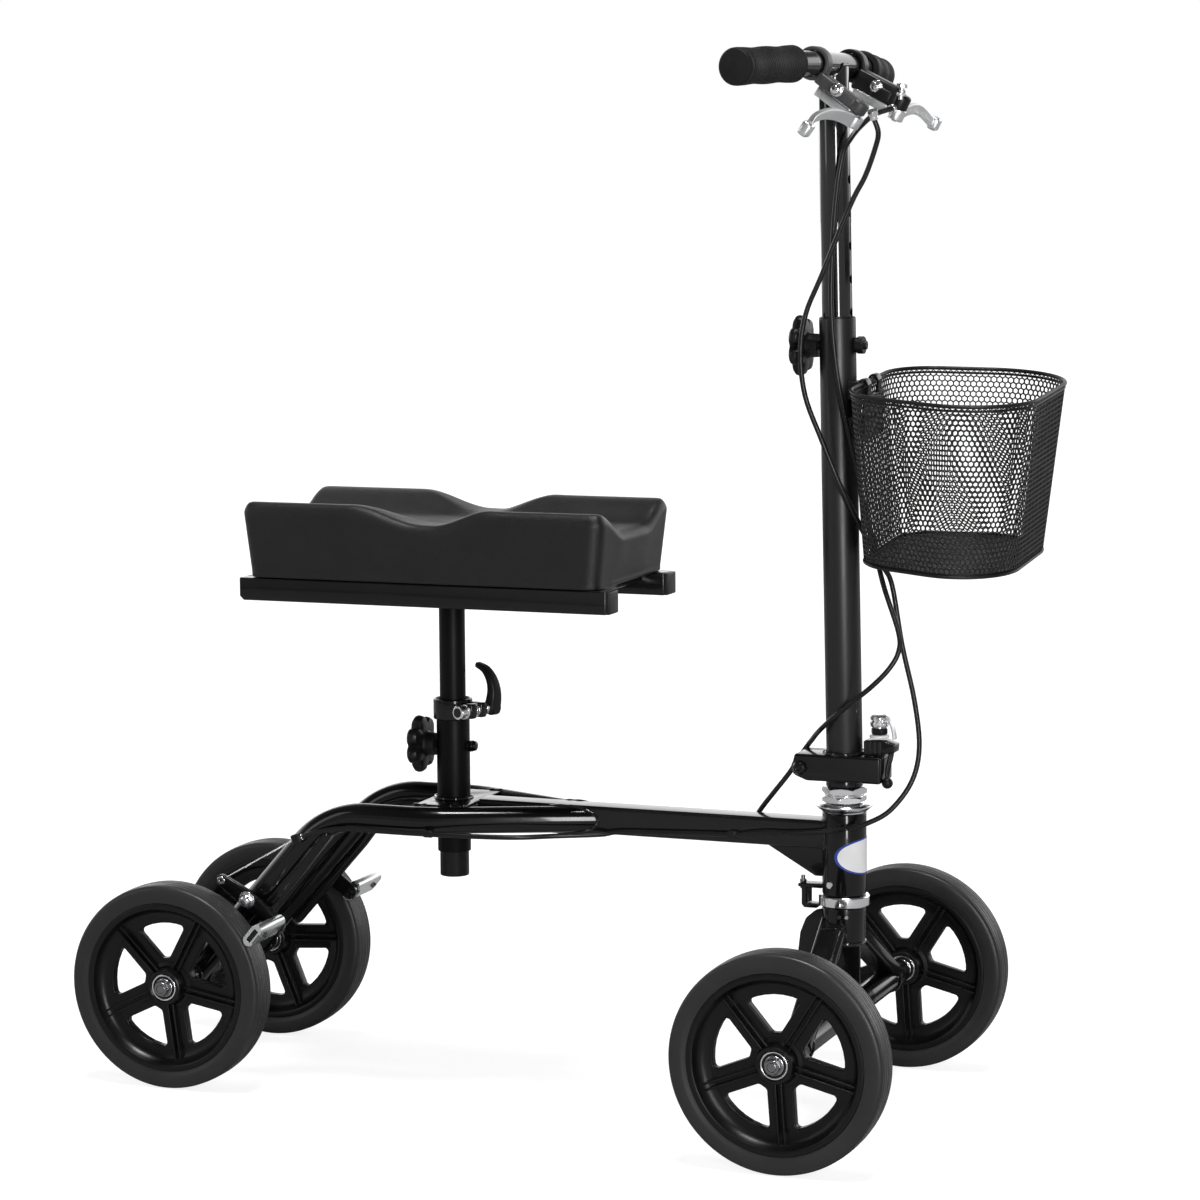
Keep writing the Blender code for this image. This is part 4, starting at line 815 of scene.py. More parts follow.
def knee_pad():
    """A moulded foam pad: rounded corners, a soft top edge, a thin lip round its foot."""
    low, high = PAD_LOW, PAD_HIGH
    corner, edge = 0.013, 0.0085
    centre = (low + high) / 2
    half = (high - low) / 2
    work = bmesh.new()
    bmesh.ops.create_grid(work, x_segments=96, y_segments=52, size=0.5)
    grown = bmesh.ops.extrude_face_region(work, geom=work.faces[:])
    for vert in [item for item in grown["geom"] if isinstance(item, bmesh.types.BMVert)]:
        vert.co.z = -1
    walls = [e for e in work.edges if abs(e.verts[0].co.z - e.verts[1].co.z) > 0.5]
    bmesh.ops.subdivide_edges(work, edges=walls, cuts=15, use_grid_fill=True)
    for vert in work.verts:
        share = vert.co.z + 1
        x, y = 2 * vert.co.x * half.x, 2 * vert.co.y * half.y
        inner_x, inner_y = half.x - corner, half.y - corner
        core = Vector((max(-inner_x, min(inner_x, x)), max(-inner_y, min(inner_y, y)), 0))
        out = Vector((x, y, 0)) - core
        longest = max(abs(out.x), abs(out.y))
        if out.length > 1e-9:
            out = out.normalized() * longest
        place = core + out
        rim = min(half.x - abs(x), half.y - abs(y))
        if share > 0.999:
            top = pad_top(centre.x + place.x, place.y)
            drop = max(0.0, edge - rim)
            sink = edge - math.sqrt(max(0.0, edge * edge - drop * drop))
            vert.co = (centre.x + place.x, place.y, top - sink)
            continue
        top = pad_top(centre.x + place.x, place.y) - edge
        height = low.z + (top - low.z) * share
        pull = 1 - 0.0035 * (1 - share) / half.y
        lip = 0.0009 if height - low.z < 0.0032 else 0.0
        if share < 0.001 and rim > 0.001:
            lip = 0.0
        way = out.normalized() if out.length > 1e-9 else Vector((0, 0, 0))
        vert.co = Vector((centre.x, 0, 0)) + place * pull + way * lip + Vector((0, 0, height))
    bmesh.ops.recalc_face_normals(work, faces=work.faces)
    pad = piece("knee_pad_cushion", to_mesh(work), PAD, "seat", ["knee_pad"], sharp=60)
    soften = pad.modifiers.new("soften", "SUBSURF")
    soften.levels = 1
    soften.render_levels = 1


def seat():
    foot = cad_box("seat_post")[0].z
    post = moved(tube(POST_RADIUS, 0.0105, foot, 0.4905, 0.0008), at(SEAT_X, 0, 0))
    deck = block((0.2, -0.0656, 0.49), (0.3, 0.0656, 0.4962), 0.001)
    piece("seat_post_and_deck", [post, deck], DULL, "seat", ["seat_post"])
    piece("seat_post_weld", weld(ring_path((SEAT_X, 0, 0.4894), 0.0137), 0.0018), BEAD, "seat")
    for side in ("right", "left"):
        low, high = cad_box(f"seat_rail_{side}")
        outline = [(low.x, high.z), (low.x, low.z + 0.004), (low.x + 0.004, low.z), (high.x - 0.0036, low.z),
                   (high.x - 0.0036, high.z)]
        bar = side_slab(rounded(outline, 0.0012, 3, closed=True), high.y - low.y, (low.y + high.y) / 2,
                        0.0014)
        piece(f"seat_rail_bar_{side}", bar, PAINT, "seat", [f"seat_rail_{side}"])
        plug = block((high.x - 0.009, low.y + 0.0003, low.z + 0.0003),
                     (high.x, high.y - 0.0003, high.z - 0.0003), 0.0012)
        piece(f"seat_rail_plug_{side}", plug, PLASTIC, "seat")
    bars = [block((x, -0.0656, 0.488), (x + 0.02, 0.0656, 0.4958), 0.001) for x in (0.095, 0.4)]
    piece("seat_cross_bars", bars, PAINT, "seat")


# ---------------------------------------------------------------- rear brakes
SHOE_AT = Vector((0.099, 0, 0.1595))
SHOE_TILT = spun(-SHOE_TURN, "Y")


def rear_brakes():
    for side, sign in SIDES:
        pivot = joint_at(f"rear_brake_{side}_press")
        body = f"rear_brake_{side}"
        out = aimed((pivot.x, sign * 0.0767, pivot.z), (0, sign, 0))
        shapes = [rod((0, 0, 0), (0, 0, 0.009), 0.0038), tube(0.0082, 0.003, 0.0084, 0.0098, 0.0004, 48),
                  moved(nut(0.0066, 0.0046), at(0, 0, 0.0098)),
                  moved(turned([(0, 0), (0.0048, 0), (0.0044, 0.0022), (0.0, 0.0036)], 0.0012, 4, 48),
                        at(0, 0, 0.014))]
        piece(f"brake_pivot_nut_{side}", all_moved(shapes, out), CHROME, "frame",
              [f"brake_pivot_{side}"])
        brake_crank(side, sign, pivot.x, pivot.z, body)
        brake_shoe(side, sign, body)


def brake_crank(side, sign, x, z, body):
    """The bent arm between the cable's pin and the shoe's cross bar."""
    pin_x, pin_y, pin_z = CRANK_PIN
    middle = sign * pin_y
    upper = stadium((x, z), (pin_x, pin_z), 0.0088, 0.0056)
    lower = stadium((x, z), (SHOE_AT.x, SHOE_AT.z), 0.0082, 0.0076)
    bore = rod((x, middle - 0.01, z), (x, middle + 0.01, z), 0.0042)
    arms = [carved(side_slab(line, thickness, middle, 0.0007), bore.copy())
            for line, thickness in ((upper, 0.005), (lower, 0.0049))]
    bar = moved(block((-0.0068, -0.028, -0.002), (0.0068, 0.028, 0.002), 0.0005),
                at(SHOE_AT.x, sign * 0.1075, SHOE_AT.z) @ SHOE_TILT)
    piece(f"brake_crank_{side}", [*arms, bar], PAINT, body, [f"brake_arm_{side}"])
    end = moved(tube(0.004, 0.0014, -0.0036, 0.0036, 0.0006, 40),
                at(pin_x, middle, pin_z) @ spun(QUARTER, "X"))
    piece(f"brake_crank_pin_{side}", end, CHROME, body)


def brake_shoe(side, sign, body):
    """An extruded bar with fine ridges and a slot, and the clip and screw under it."""
    ridges = []
    for i in range(6):
        crest = 0.0065 - 0.0026 * i
        ridges += [(crest + 0.0006, 0.0054), (crest, 0.0062), (crest - 0.0008, 0.0054)]
    oval = arc((0.0066, 0), 0.0055, -90, 80, 10) + [r for r in ridges if abs(r[0]) < 0.0068] \
        + arc((-0.0066, 0), 0.0055, 100, 270, 10)
    slot = [(-0.0072, -0.0024), (0.0072, -0.0024), (0.0072, 0.0024), (-0.0072, 0.0024)]
    shoe = moved(slab(oval, SHOE_LENGTH, 0.0003, [slot]), SHOE_TILT @ spun(QUARTER, "X"))
    centre = at(SHOE_AT.x, sign * 0.1115, SHOE_AT.z)
    piece(f"brake_shoe_bar_{side}", moved(shoe, centre), EXTRUDED, body, [f"brake_shoe_{side}"])
    clip = moved(block((-0.006, -0.0262, -0.0074), (0.006, -0.0235, -0.004), 0.0006), centre @ SHOE_TILT)
    screw = moved(nut(0.0034, 0.0024, chamfer=0.0006),
                  centre @ SHOE_TILT @ at(0.0035, sign * 0.012, -0.0056) @ spun(math.pi, "X"))
    piece(f"brake_shoe_screw_{side}", [clip, screw], ZINC, body)


# ---------------------------------------------------------------- fork, steerer and fold block
def fork():
    crown = turned([(0, 0.164), (0.0196, 0.164), (0.02, 0.2002), (0, 0.2002)], 0.0012, 4, 96)
    shapes = [moved(crown, at(STEER_X, 0, 0))]
    foot_welds = []
    for sign in (-1, 1):
        top, foot = Vector((0.638, sign * 0.004, 0.188)), Vector((AXLE_X, sign * 0.15, 0.101))
        way = (foot - top).normalized()
        across = Vector((1, 0, 0)).cross(way)
        shapes.append(sweep([top, foot], (0.013, 0.0065), SQUARE, up=across, bulge=0))
        near = top + way * 0.022
        bead = []
        for i in range(32):
            a = 2 * math.pi * i / 32
            bead.append(near + Vector((0.0135 * math.cos(a), 0, 0)) + across * (0.007 * math.sin(a)))
        foot_welds.append(weld(bead, 0.0013))
    pipe = flat_rounded([(0.006, -0.172), (0.0118, -0.172), (0.0118, 0.172), (0.006, 0.172)], 0.001)
    axle_tube = lathe(pipe, 64, loop=True)
    shapes.append(moved(axle_tube, at(AXLE_X, 0, WHEEL_RADIUS) @ spun(QUARTER, "X")))
    tie = [(0.63, 0.1965), (0.617, 0.1945), (0.607, 0.186), (0.6015, 0.172), (0.5995, 0.155), (0.602, 0.13),
           (0.612, 0.104), (0.6597, 0.102), (0.6597, 0.19)]
    shapes.append(side_slab(rounded(tie, 0.01, 4, closed=True), 0.004, 0, 0.0008))
    piece("fork_weldment", shapes, PAINT, "fork", ["fork"])
    foot_welds.append(weld(ring_path((STEER_X, 0, 0.1668), 0.02), 0.0012))
    for sign in (-1, 1):
        foot_welds.append(weld(ring_path((AXLE_X, sign * 0.139, WHEEL_RADIUS), 0.0125, "Y", 40), 0.0014))
    piece("fork_welds", foot_welds, BEAD, "fork")
    bits = [moved(nut(0.0019, 0.0012, chamfer=0.0004),
                  aimed((STEER_X + 0.0196 * math.sin(a), -0.0196 * math.cos(a), 0.1925),
                        (math.sin(a), -math.cos(a), 0))) for a in (0.05, 0.4)]
    piece("crown_screws", bits, ZINC, "fork")


def steerer():
    x = STEER_X
    rear = (FOLD_PIVOT.x, FOLD_PIVOT.z)
    side = arc(rear, 0.0085, 95, 265, 20) + [(0.62, 0.3195), (0.676, 0.3195), (0.676, 0.3404), (0.62, 0.3404)]
    collar = turned([(0, 0.3129), (0.0172, 0.3129), (0.0168, 0.3205), (0, 0.3205)], 0.001, 4, 96)
    shapes = [rod((x, 0, 0.2008), (x, 0, 0.32), 0.0125), moved(collar, at(x, 0, 0)),
              side_slab(side, 0.0338, 0, 0.001)]
    piece("steerer_and_block", shapes, PAINT, "fork", ["steerer_block"])
    upper = moved(nut(0.0212, 0.0066, 0.013, chamfer=0.0014), at(x, 0, 0.3059) @ spun(math.radians(8), "Z"))
    lower = moved(nut(0.0212, 0.0062, 0.013, chamfer=0.0014), at(x, 0, 0.298) @ spun(math.radians(31), "Z"))
    washer = moved(tube(0.0182, 0.013, 0.304, 0.3061, 0.0005, 72), at(x, 0, 0))
    piece("headset_nuts", [upper, lower, washer], CHROME, "fork", ["headset_locknuts"])
    ends = []
    for sign in (-1, 1):
        place = aimed((FOLD_PIVOT.x, sign * 0.0205, FOLD_PIVOT.z), (0, sign, 0))
        rows = flat_rounded([(0, 0), (0.0066, 0), (0.0066, 0.0014), (0.005, 0.004), (0.0026, 0.0044),
                             (0.002, 0.0032), (0, 0.0032)], 0.0007, 4)
        ends.append(moved(lathe(rows, 48), place))
    ends.append(rod((FOLD_PIVOT.x, -0.0206, FOLD_PIVOT.z), (FOLD_PIVOT.x, 0.0206, FOLD_PIVOT.z), 0.004))
    piece("fold_pivot_rivet", ends, PAINT, "fork", ["fold_pivot_bolt"])


# ---------------------------------------------------------------- column, stem and latch
def fold_channel():
    rear = (FOLD_PIVOT.x, FOLD_PIVOT.z)
    side = arc(rear, 0.009, 145, 250, 16) + [(0.613, 0.319), (0.684, 0.319), (0.684, CHANNEL_TOP),
                                              (0.6015, CHANNEL_TOP)]
    side = rounded(side, 0.002, 3, closed=True)
    shell = carved(side_slab(side, 0.0404, 0, 0.0022),
                   block((0.58, -0.0172, 0.3), (0.681, 0.0172, CHANNEL_TOP - 0.0028), 0.001))
    lug = [(0.6655, 0.3425), (0.684, 0.3425), (0.685, 0.346), (0.694, 0.347), (0.6945, 0.3545),
           (0.6845, 0.358), (0.6655, 0.358)]
    piece("fold_channel_shell", [shell, side_slab(rounded(lug, 0.0012, 3, closed=True), 0.018, 0, 0.0012)],
          PAINT,
          "column", ["fold_channel"])
    fins = [block((0.665 + 0.0046 * i, -0.0094, 0.3452), (0.6676 + 0.0046 * i, 0.0094, 0.3572), 0.0005)
            for i in range(4)]
    piece("latch_block_fins", fins, PLASTIC, "column")
    foot = ring_path((STEER_X, 0, CHANNEL_TOP + 0.0006), COLUMN_RADIUS + 0.0012, "Z", 56)
    flanks = [weld([(0.676 - 0.002 * i, sign * 0.015, CHANNEL_TOP + 0.0002) for i in range(3)], 0.001,
                   loop=False)
              for sign in (-1, 1)]
    piece("column_foot_weld", [weld(foot, 0.0021), *flanks], BEAD, "column")


def latch():
    centre = at(0.6775, 0, 0)
    crown = []
    steps = 96
    for radius, z in [(0.0, 0.3812), (0.003, 0.3812), (0.0062, 0.3808), (0.008, 0.3798), (0.0086, 0.3784),
                      (0.0086, 0.3768), (0.0072, 0.3757), (0.0072, 0.3749), (0.0088, 0.3738),
                      (0.0088, 0.3716), (0.008, 0.37), (0.0052, 0.3694),
                      (0.0, 0.3694)]:
        ring = []
        for i in range(steps):
            angle = 2 * math.pi * i / steps
            notch = 0.8 if radius > 0.006 and z < 0.381 and math.sin(8 * angle) < -0.25 else 1.0
            ring.append((radius * notch * math.cos(angle), radius * notch * math.sin(angle), z))
        crown.append(ring)
    waist = [tube(0.005, 0.001, 0.3618, 0.3698, 0.0004, 48)]
    piece("latch_nut", all_moved([loft(crown), *waist], centre), CHROME, "column", ["latch_bolt"])
    washer = moved(tube(0.0092, 0.002, 0.36, 0.3622, 0.0006, 64), centre)
    piece("latch_washer", washer, ENAMEL, "column")
    fins = moved(nut(0.0078, 0.006, chamfer=0.0012), centre @ at(0, 0, 0.3628))
    piece("latch_spring_cup", fins, PLASTIC, "column")
    blade = sweep(smooth([(0.6848, 0, 0.3785), (0.6884, 0, 0.3748), (0.6912, 0, 0.366),
                          (0.6922, 0, 0.3592)], 4),
                  (0.004, 0.0014), SQUARE, up=(1, 0, 0.3))
    piece("latch_blade", blade, ALLOY, "column")
    pivot = joint_at("latch_release")
    x, z = pivot.x, pivot.z
    hub = rod((x, -0.0052, z), (x, 0.0052, z), 0.0046, 0.001)
    knob = Vector((0.6884, -0.011, 0.3195))
    legs = [sweep(smooth([(x - 0.0005, sign * 0.0038, z), (x - 0.0012, sign * 0.004 - 0.002, z - 0.009),
                          (0.6872, sign * 0.003 - 0.006, knob.z + 0.011), tuple(knob)], 5), 0.0016)
            for sign in (-1, 1)]
    ball = lathe([(0.0052 * math.sin(math.pi * i / 14),
                   -0.0052 * math.cos(math.pi * i / 14)) for i in range(15)], 40)
    shapes = [hub, *legs, moved(ball, Matrix.Translation(knob))]
    piece("latch_handle", shapes, PLASTIC, "latch_lever", ["latch_lever"])


def column():
    lean = COLUMN
    way = moved(rod((-0.03, 0, STEM_KNOB), (0.03, 0, STEM_KNOB), 0.0045), lean)
    pipe = carved(moved(tube(COLUMN_RADIUS, STEM_RADIUS + GAP, 0.0006, COLUMN_LENGTH, 0.0008, 96), lean), way)
    piece("column_pipe", pipe, SATIN, "column", ["column_tube"])
    mouth = moved(tube(0.0167, STEM_RADIUS + 0.0002, COLUMN_LENGTH - 0.006, COLUMN_LENGTH + 0.0012, 0.0012,
                       96),
                  lean)
    piece("column_mouth_bush", mouth, PLASTIC, "column")
    boss = lean @ aimed((COLUMN_RADIUS + GAP, 0, STEM_KNOB), (1, 0, 0))
    rings = [tube(0.007, 0.003, 0.0, 0.0022, 0.0004, 56), moved(nut(0.0082, 0.0062, 0.003, sides=9,
                                                                      chamfer=0.0008), at(0, 0, 0.002)),
             tube(0.004, 0.0001, 0.0, 0.0108, 0.0006, 40)]
    piece("stem_knob_boss", all_moved(rings, boss), PLASTIC, "column", ["stem_knob_nut"])
    core = rod((0, 0, 0.28), (0, 0, 0.36), COLUMN_RADIUS + GAP)
    grips = [carved(block((0.012, -0.013, z), (0.0258, 0.013, z + 0.0165), 0.0016), core.copy())
             for z in (0.295, 0.3275)]
    spine = carved(block((0.014, -0.006, 0.3), (0.02, 0.006, 0.34), 0.001), core)
    piece("basket_bracket_block", all_moved([*grips, spine], lean), PLASTIC, "column",
          ["basket_bracket"])
    screws = [moved(nut(0.003, 0.0022, chamfer=0.0006), lean @ aimed((0.0185, sign * 0.013, z), (0, sign, 0)))
              for sign in (-1, 1) for z in (0.3035, 0.3345)]
    piece("basket_bracket_screws", screws, ZINC, "column")


def stem():
    """The sliding tube with its row of height holes, the handlebar and what sits on it."""
    holes = [moved(rod((-0.03, 0, 0), (0.03, 0, 0), 0.0042, 0.0004, 26),
                   COLUMN @ at(0, 0.0001, STEM_KNOB + 0.03 * k) @ spun(0.07, "X")) for k in range(-1, 6)]
    through = rod(BAR_CENTRE - Vector((0, 0.03, 0)), BAR_CENTRE + Vector((0, 0.03, 0)), BAR_RADIUS + 0.0002)
    low, high = 0.256, 0.628
    pipe = carved(moved(tube(STEM_RADIUS, 0.0122, low, high, 0.0006, 96), COLUMN), through, *holes)
    piece("stem_pipe", pipe, GLOSS, "stem", ["stem_tube"])
    flip = Vector((1, -1, 1))
    path = rounded([BAR_TIP * flip, BAR_BEND * flip, BAR_BEND, BAR_TIP], 0.06, 10)
    piece("handlebar_pipe", sweep(path, BAR_RADIUS, circle((0, 0), 1.0, 48)), PAINT, "stem", ["handlebar"])
    saddle = []
    for i in range(64):
        angle = 2 * math.pi * i / 64
        y, x = (STEM_RADIUS + 0.0004) * math.sin(angle), STEM_RADIUS * math.cos(angle)
        drop = math.sqrt(max(0.0, BAR_RADIUS ** 2 - min(abs(x), BAR_RADIUS) ** 2))
        saddle.append(BAR_CENTRE + Vector((max(-BAR_RADIUS, min(BAR_RADIUS, x)), y, -drop - 0.0003)))
    piece("stem_head_weld", weld(saddle, 0.0017), BEAD, "stem")
    for side, sign in SIDES:
        grip(side, sign)
        hand_lever(side, sign)


def grip(side, sign):
    """A sleeve of fine rings that swell and narrow, with a plug in its end."""
    flip = Vector((1, sign, 1))
    way = (BAR_TIP - BAR_BEND).normalized() * flip
    rows = [(0.0, 0.0), (0.006, 0.0), (0.0075, -0.0006), (0.0118, -0.0006), (0.0148, -0.0014),
            (0.0163, -0.0036), (0.0165, -0.007), (0.0158, -0.0085)]
    for i in range(30):
        z = -0.01 - 0.0032 * i
        swell = 0.0004 * math.cos(i * 0.42)
        rows += [(0.016 + swell, z), (0.016 + swell, z - 0.0018), (0.0153 + swell, z - 0.0022),
                 (0.0153 + swell, z - 0.0029)]
    rows += [(0.0165, -0.108), (0.0165, -0.1105), (0.015, -0.112), (0.0117, -0.112), (0.0117, -0.0036),
             (0.0, -0.0036)]
    sleeve = moved(lathe(rows, 64), aimed(BAR_TIP * flip + way * 0.004, way))
    piece(f"grip_sleeve_{side}", sleeve, GRIP, "stem", [f"grip_{side}"])


def hand_lever(side, sign):
    """A perch on the bar with its housing, and the sprung blade under it."""
    joint = JOINTS[f"brake_lever_{side}_pull"]
    lift = Vector(joint["axis"]).normalized()
    lift *= 1 if lift.z > 0 else -1
    ahead = Vector((lift.z, 0, -lift.x))
    place = Matrix((ahead, (0, 1, 0), lift)).transposed().to_4x4()
    place.translation = BAR_CENTRE + Vector((0, sign * 0.055, 0))
    perch(side, sign, place)
    cable_adjuster(side)
    brake_blade(side, sign, place, lift)


def perch(side, sign, place):
    """A band on the bar with its housing, the lever's pin, a strip under it and a bolt."""
    band = moved(tube(0.0152, 0.0114, -0.007, 0.007, 0.0012, 72), spun(QUARTER, "X"))
    pin = rod((LEVER_REACH, 0, -0.0266), (LEVER_REACH, 0, -0.005), 0.0026)
    if side == "right":
        casing = [block((0.01, -0.0085, -0.0125), (0.053, 0.0085, -0.001), 0.0026),
                  moved(tube(0.0085, 0.0001, -0.0128, -0.0008, 0.0026, 64), at(0.056, 0, 0))]
        # painted highlight: the right perch takes a lighter grey copy of the black plastic, for the light on
        # it
        finish = LIT_GREY_PLASTIC
    else:
        casing = [block((0.01, -0.0095, -0.017), (0.056, 0.0095, 0.003), 0.003),
                  block((0.03, -0.011, -0.015), (0.05, 0.011, -0.003), 0.002),
                  moved(tube(0.0088, 0.0001, -0.0165, -0.001, 0.0026, 64), at(0.057, 0, 0))]
        finish = PLASTIC
    piece(f"brake_perch_casing_{side}", all_moved([band, *casing], place), finish, "stem",
          [f"brake_perch_{side}"])
    strip = block((0.014, sign * -0.0065 - 0.003, -0.0232), (0.05, sign * -0.0065 + 0.003, -0.015), 0.001)
    piece(f"perch_strip_{side}", all_moved([strip, pin], place), ALLOY, "stem")
    bolt = aimed((0.033, -0.0088, -0.005), (0, -1, 0))
    shapes = [moved(tube(0.0062, 0.0001, 0, 0.0014, 0.0005, 48), bolt),
              moved(nut(0.0054, 0.0046), bolt @ at(0, 0, 0.0014)),
              moved(turned([(0, 0), (0.004, 0), (0.0036, 0.0022), (0, 0.003)], 0.001, 4, 40),
                    bolt @ at(0, 0, 0.0056))]
    piece(f"perch_bolt_{side}", all_moved(shapes, place), CHROME, "stem")


def cable_adjuster(side):
    """A barrel that holds the cable's end; the left one has its screw and nuts standing up."""
    if side == "left":
        barrel = aimed((0.676, 0.051, 0.936), Vector((-0.3, -0.85, -0.25)))
        shapes = [moved(nut(0.0062, 0.006, chamfer=0.001), barrel @ at(0, 0, -0.007)),
                  moved(tube(0.004, 0.0001, 0.001, 0.008, 0.0008, 40), barrel)]
        screw = aimed((0.682, 0.045, 0.942), (0.12, 0.0, 1.0))
        shapes += [moved(tube(0.0024, 0.0001, 0.0, 0.015, 0.0005, 32), screw),
                   moved(nut(0.0052, 0.0034, sides=8), screw @ at(0, 0, 0.011)),
                   moved(nut(0.0046, 0.003), screw @ at(0, 0, 0.0035))]
    else:
        barrel = aimed((0.683, -0.045, 0.929), Vector((0.1, 0.35, -0.9)))
        shapes = [moved(nut(0.0052, 0.005, chamfer=0.001), barrel @ at(0, 0, -0.003)),
                  moved(tube(0.0038, 0.0001, 0.0015, 0.006, 0.0008, 40), barrel)]
    piece(f"cable_adjuster_{side}", shapes, CHROME, "stem")


def brake_blade(side, sign, place, lift):
    """A curved blade that narrows outwards, its hub and its ball end."""
    line = [(0.059, 0.0, -0.0005), (0.0592, 0.014, 0.001), (0.0582, 0.026, 0.0025), (0.0559, 0.052, 0.004),
            (0.0544, 0.078, 0.003), (0.0552, 0.104, -0.001), (0.06, 0.124, -0.007)]
    path = smooth([place @ Vector((v, sign * u, low - LEVER_DROP)) for v, u, low in line], 5)
    sizes = []
    for i in range(len(path)):
        along = i / (len(path) - 1)
        sizes.append((0.0028 - 0.0006 * math.sin(math.pi * along), 0.0066 - 0.0022 * along))
    blade = sweep(path, sizes, SQUARE, up=lift, bulge=0.4)
    hub = moved(tube(0.0078, 0.0029, -0.0056, 0.0056, 0.0012, 56), place @ at(LEVER_REACH, 0, -LEVER_DROP))
    tip_at = place @ at(0.062, sign * 0.13, -0.0075 - LEVER_DROP)
    tab = moved(block((-0.005, -0.0066, -0.0066), (0.005, 0.0066, 0.0066), 0.003), tip_at)
    piece(f"brake_blade_{side}", [blade, hub, tab], ALLOY, f"brake_lever_{side}", [f"brake_lever_{side}"])


# ---------------------------------------------------------------- basket
# the rim's back and front: where each is, and half how wide
RIM_BACK = (0.667, 0.09)
RIM_FRONT = (0.836, 0.13)
RIM_CORNERS = (0.052, 0.078)
RIM_Z = 0.6845
FLOOR_Z = 0.529
BASKET_TAPER = Vector((0.83, 0.89, 1.0))
BASKET_MIDDLE = (RIM_BACK[0] + RIM_FRONT[0]) / 2
BASKET_SET = at(BASKET_MIDDLE, 0, RIM_Z) @ spun(math.radians(2.7), "Y") @ spun(math.radians(4.7), "X")
CELL = 0.0054    # across the flats of one opening
STRAND = 0.76    # how much of a cell is open
WIRE_STEPS = 160


def basket_line():
    """The rim's plan, a rounded trapezoid about its own middle, as evenly spaced points."""
    (back, back_half), (front, front_half) = RIM_BACK, RIM_FRONT
    corners = [(back, -back_half, 0), (front, -front_half, 1), (front, front_half, 1), (back, back_half, 0)]
    line = []
    for i, (x, y, which) in enumerate(corners):
        before, after = corners[i - 1], corners[(i + 1) % 4]
        trio = [(before[0], before[1]), (x, y), (after[0], after[1])]
        line += rounded(trio, RIM_CORNERS[which], 16)[1:-1]
    line = [Vector((p.x - BASKET_MIDDLE, p.y, 0)) for p in line]
    lengths = [0.0]
    for a, b in zip(line, line[1:] + line[:1]):
        lengths.append(lengths[-1] + (b - a).length)
    return line + [line[0]], lengths


BASKET_LINE, BASKET_LENGTHS = basket_line()


def on_rim(share):
    """The rim's point at a share of its way round."""
    target = (share % 1.0) * BASKET_LENGTHS[-1]
    low, high = 0, len(BASKET_LENGTHS) - 1
    while high - low > 1:
        middle = (low + high) // 2
        if BASKET_LENGTHS[middle] <= target:
            low = middle
        else:
            high = middle
    span = BASKET_LENGTHS[high] - BASKET_LENGTHS[low]
    return BASKET_LINE[low].lerp(BASKET_LINE[high], (target - BASKET_LENGTHS[low]) / max(span, 1e-9))


def on_wall(share, drop):
    """A point of the basket's wall, a way round it and a depth below its rim."""
    sunk = drop / (RIM_Z - FLOOR_Z)
    point = on_rim(share) * Vector((1, 1, 1)).lerp(BASKET_TAPER, sunk)
    return Vector((point.x, point.y, -drop))


def hexagons(cells, to_place):
    """A sheet of six-sided openings: each cell is (column, row) places of its middle, in metres."""
    work = bmesh.new()
    corners = {}
    half, peak = CELL / 2, CELL / math.sqrt(3)
    ring = [(0, peak), (half, peak / 2), (half, -peak / 2), (0, -peak), (-half, -peak / 2), (-half, peak / 2)]
    for column, row in cells:
        outer, inner = [], []
        for dx, dy in ring:
            place = to_place(column + dx, row + dy)
            key = tuple(round(c, 5) for c in place)
            if key not in corners:
                corners[key] = work.verts.new(place)
            outer.append(corners[key])
            inner.append(work.verts.new(to_place(column + dx * STRAND, row + dy * STRAND)))
        for i in range(6):
            j = (i + 1) % 6
            quad = (outer[i], outer[j], inner[j], inner[i])
            if len(set(quad)) == 4:
                work.faces.new(quad)
    bmesh.ops.recalc_face_normals(work, faces=work.faces)
    return to_mesh(work)


def within(point, line):
    """Whether a point is inside a closed line."""
    inside = False
    for a, b in zip(line, line[1:]):
        if (a.y > point[1]) != (b.y > point[1]):
            inside ^= point[0] < (b.x - a.x) * (point[1] - a.y) / (b.y - a.y) + a.x
    return inside


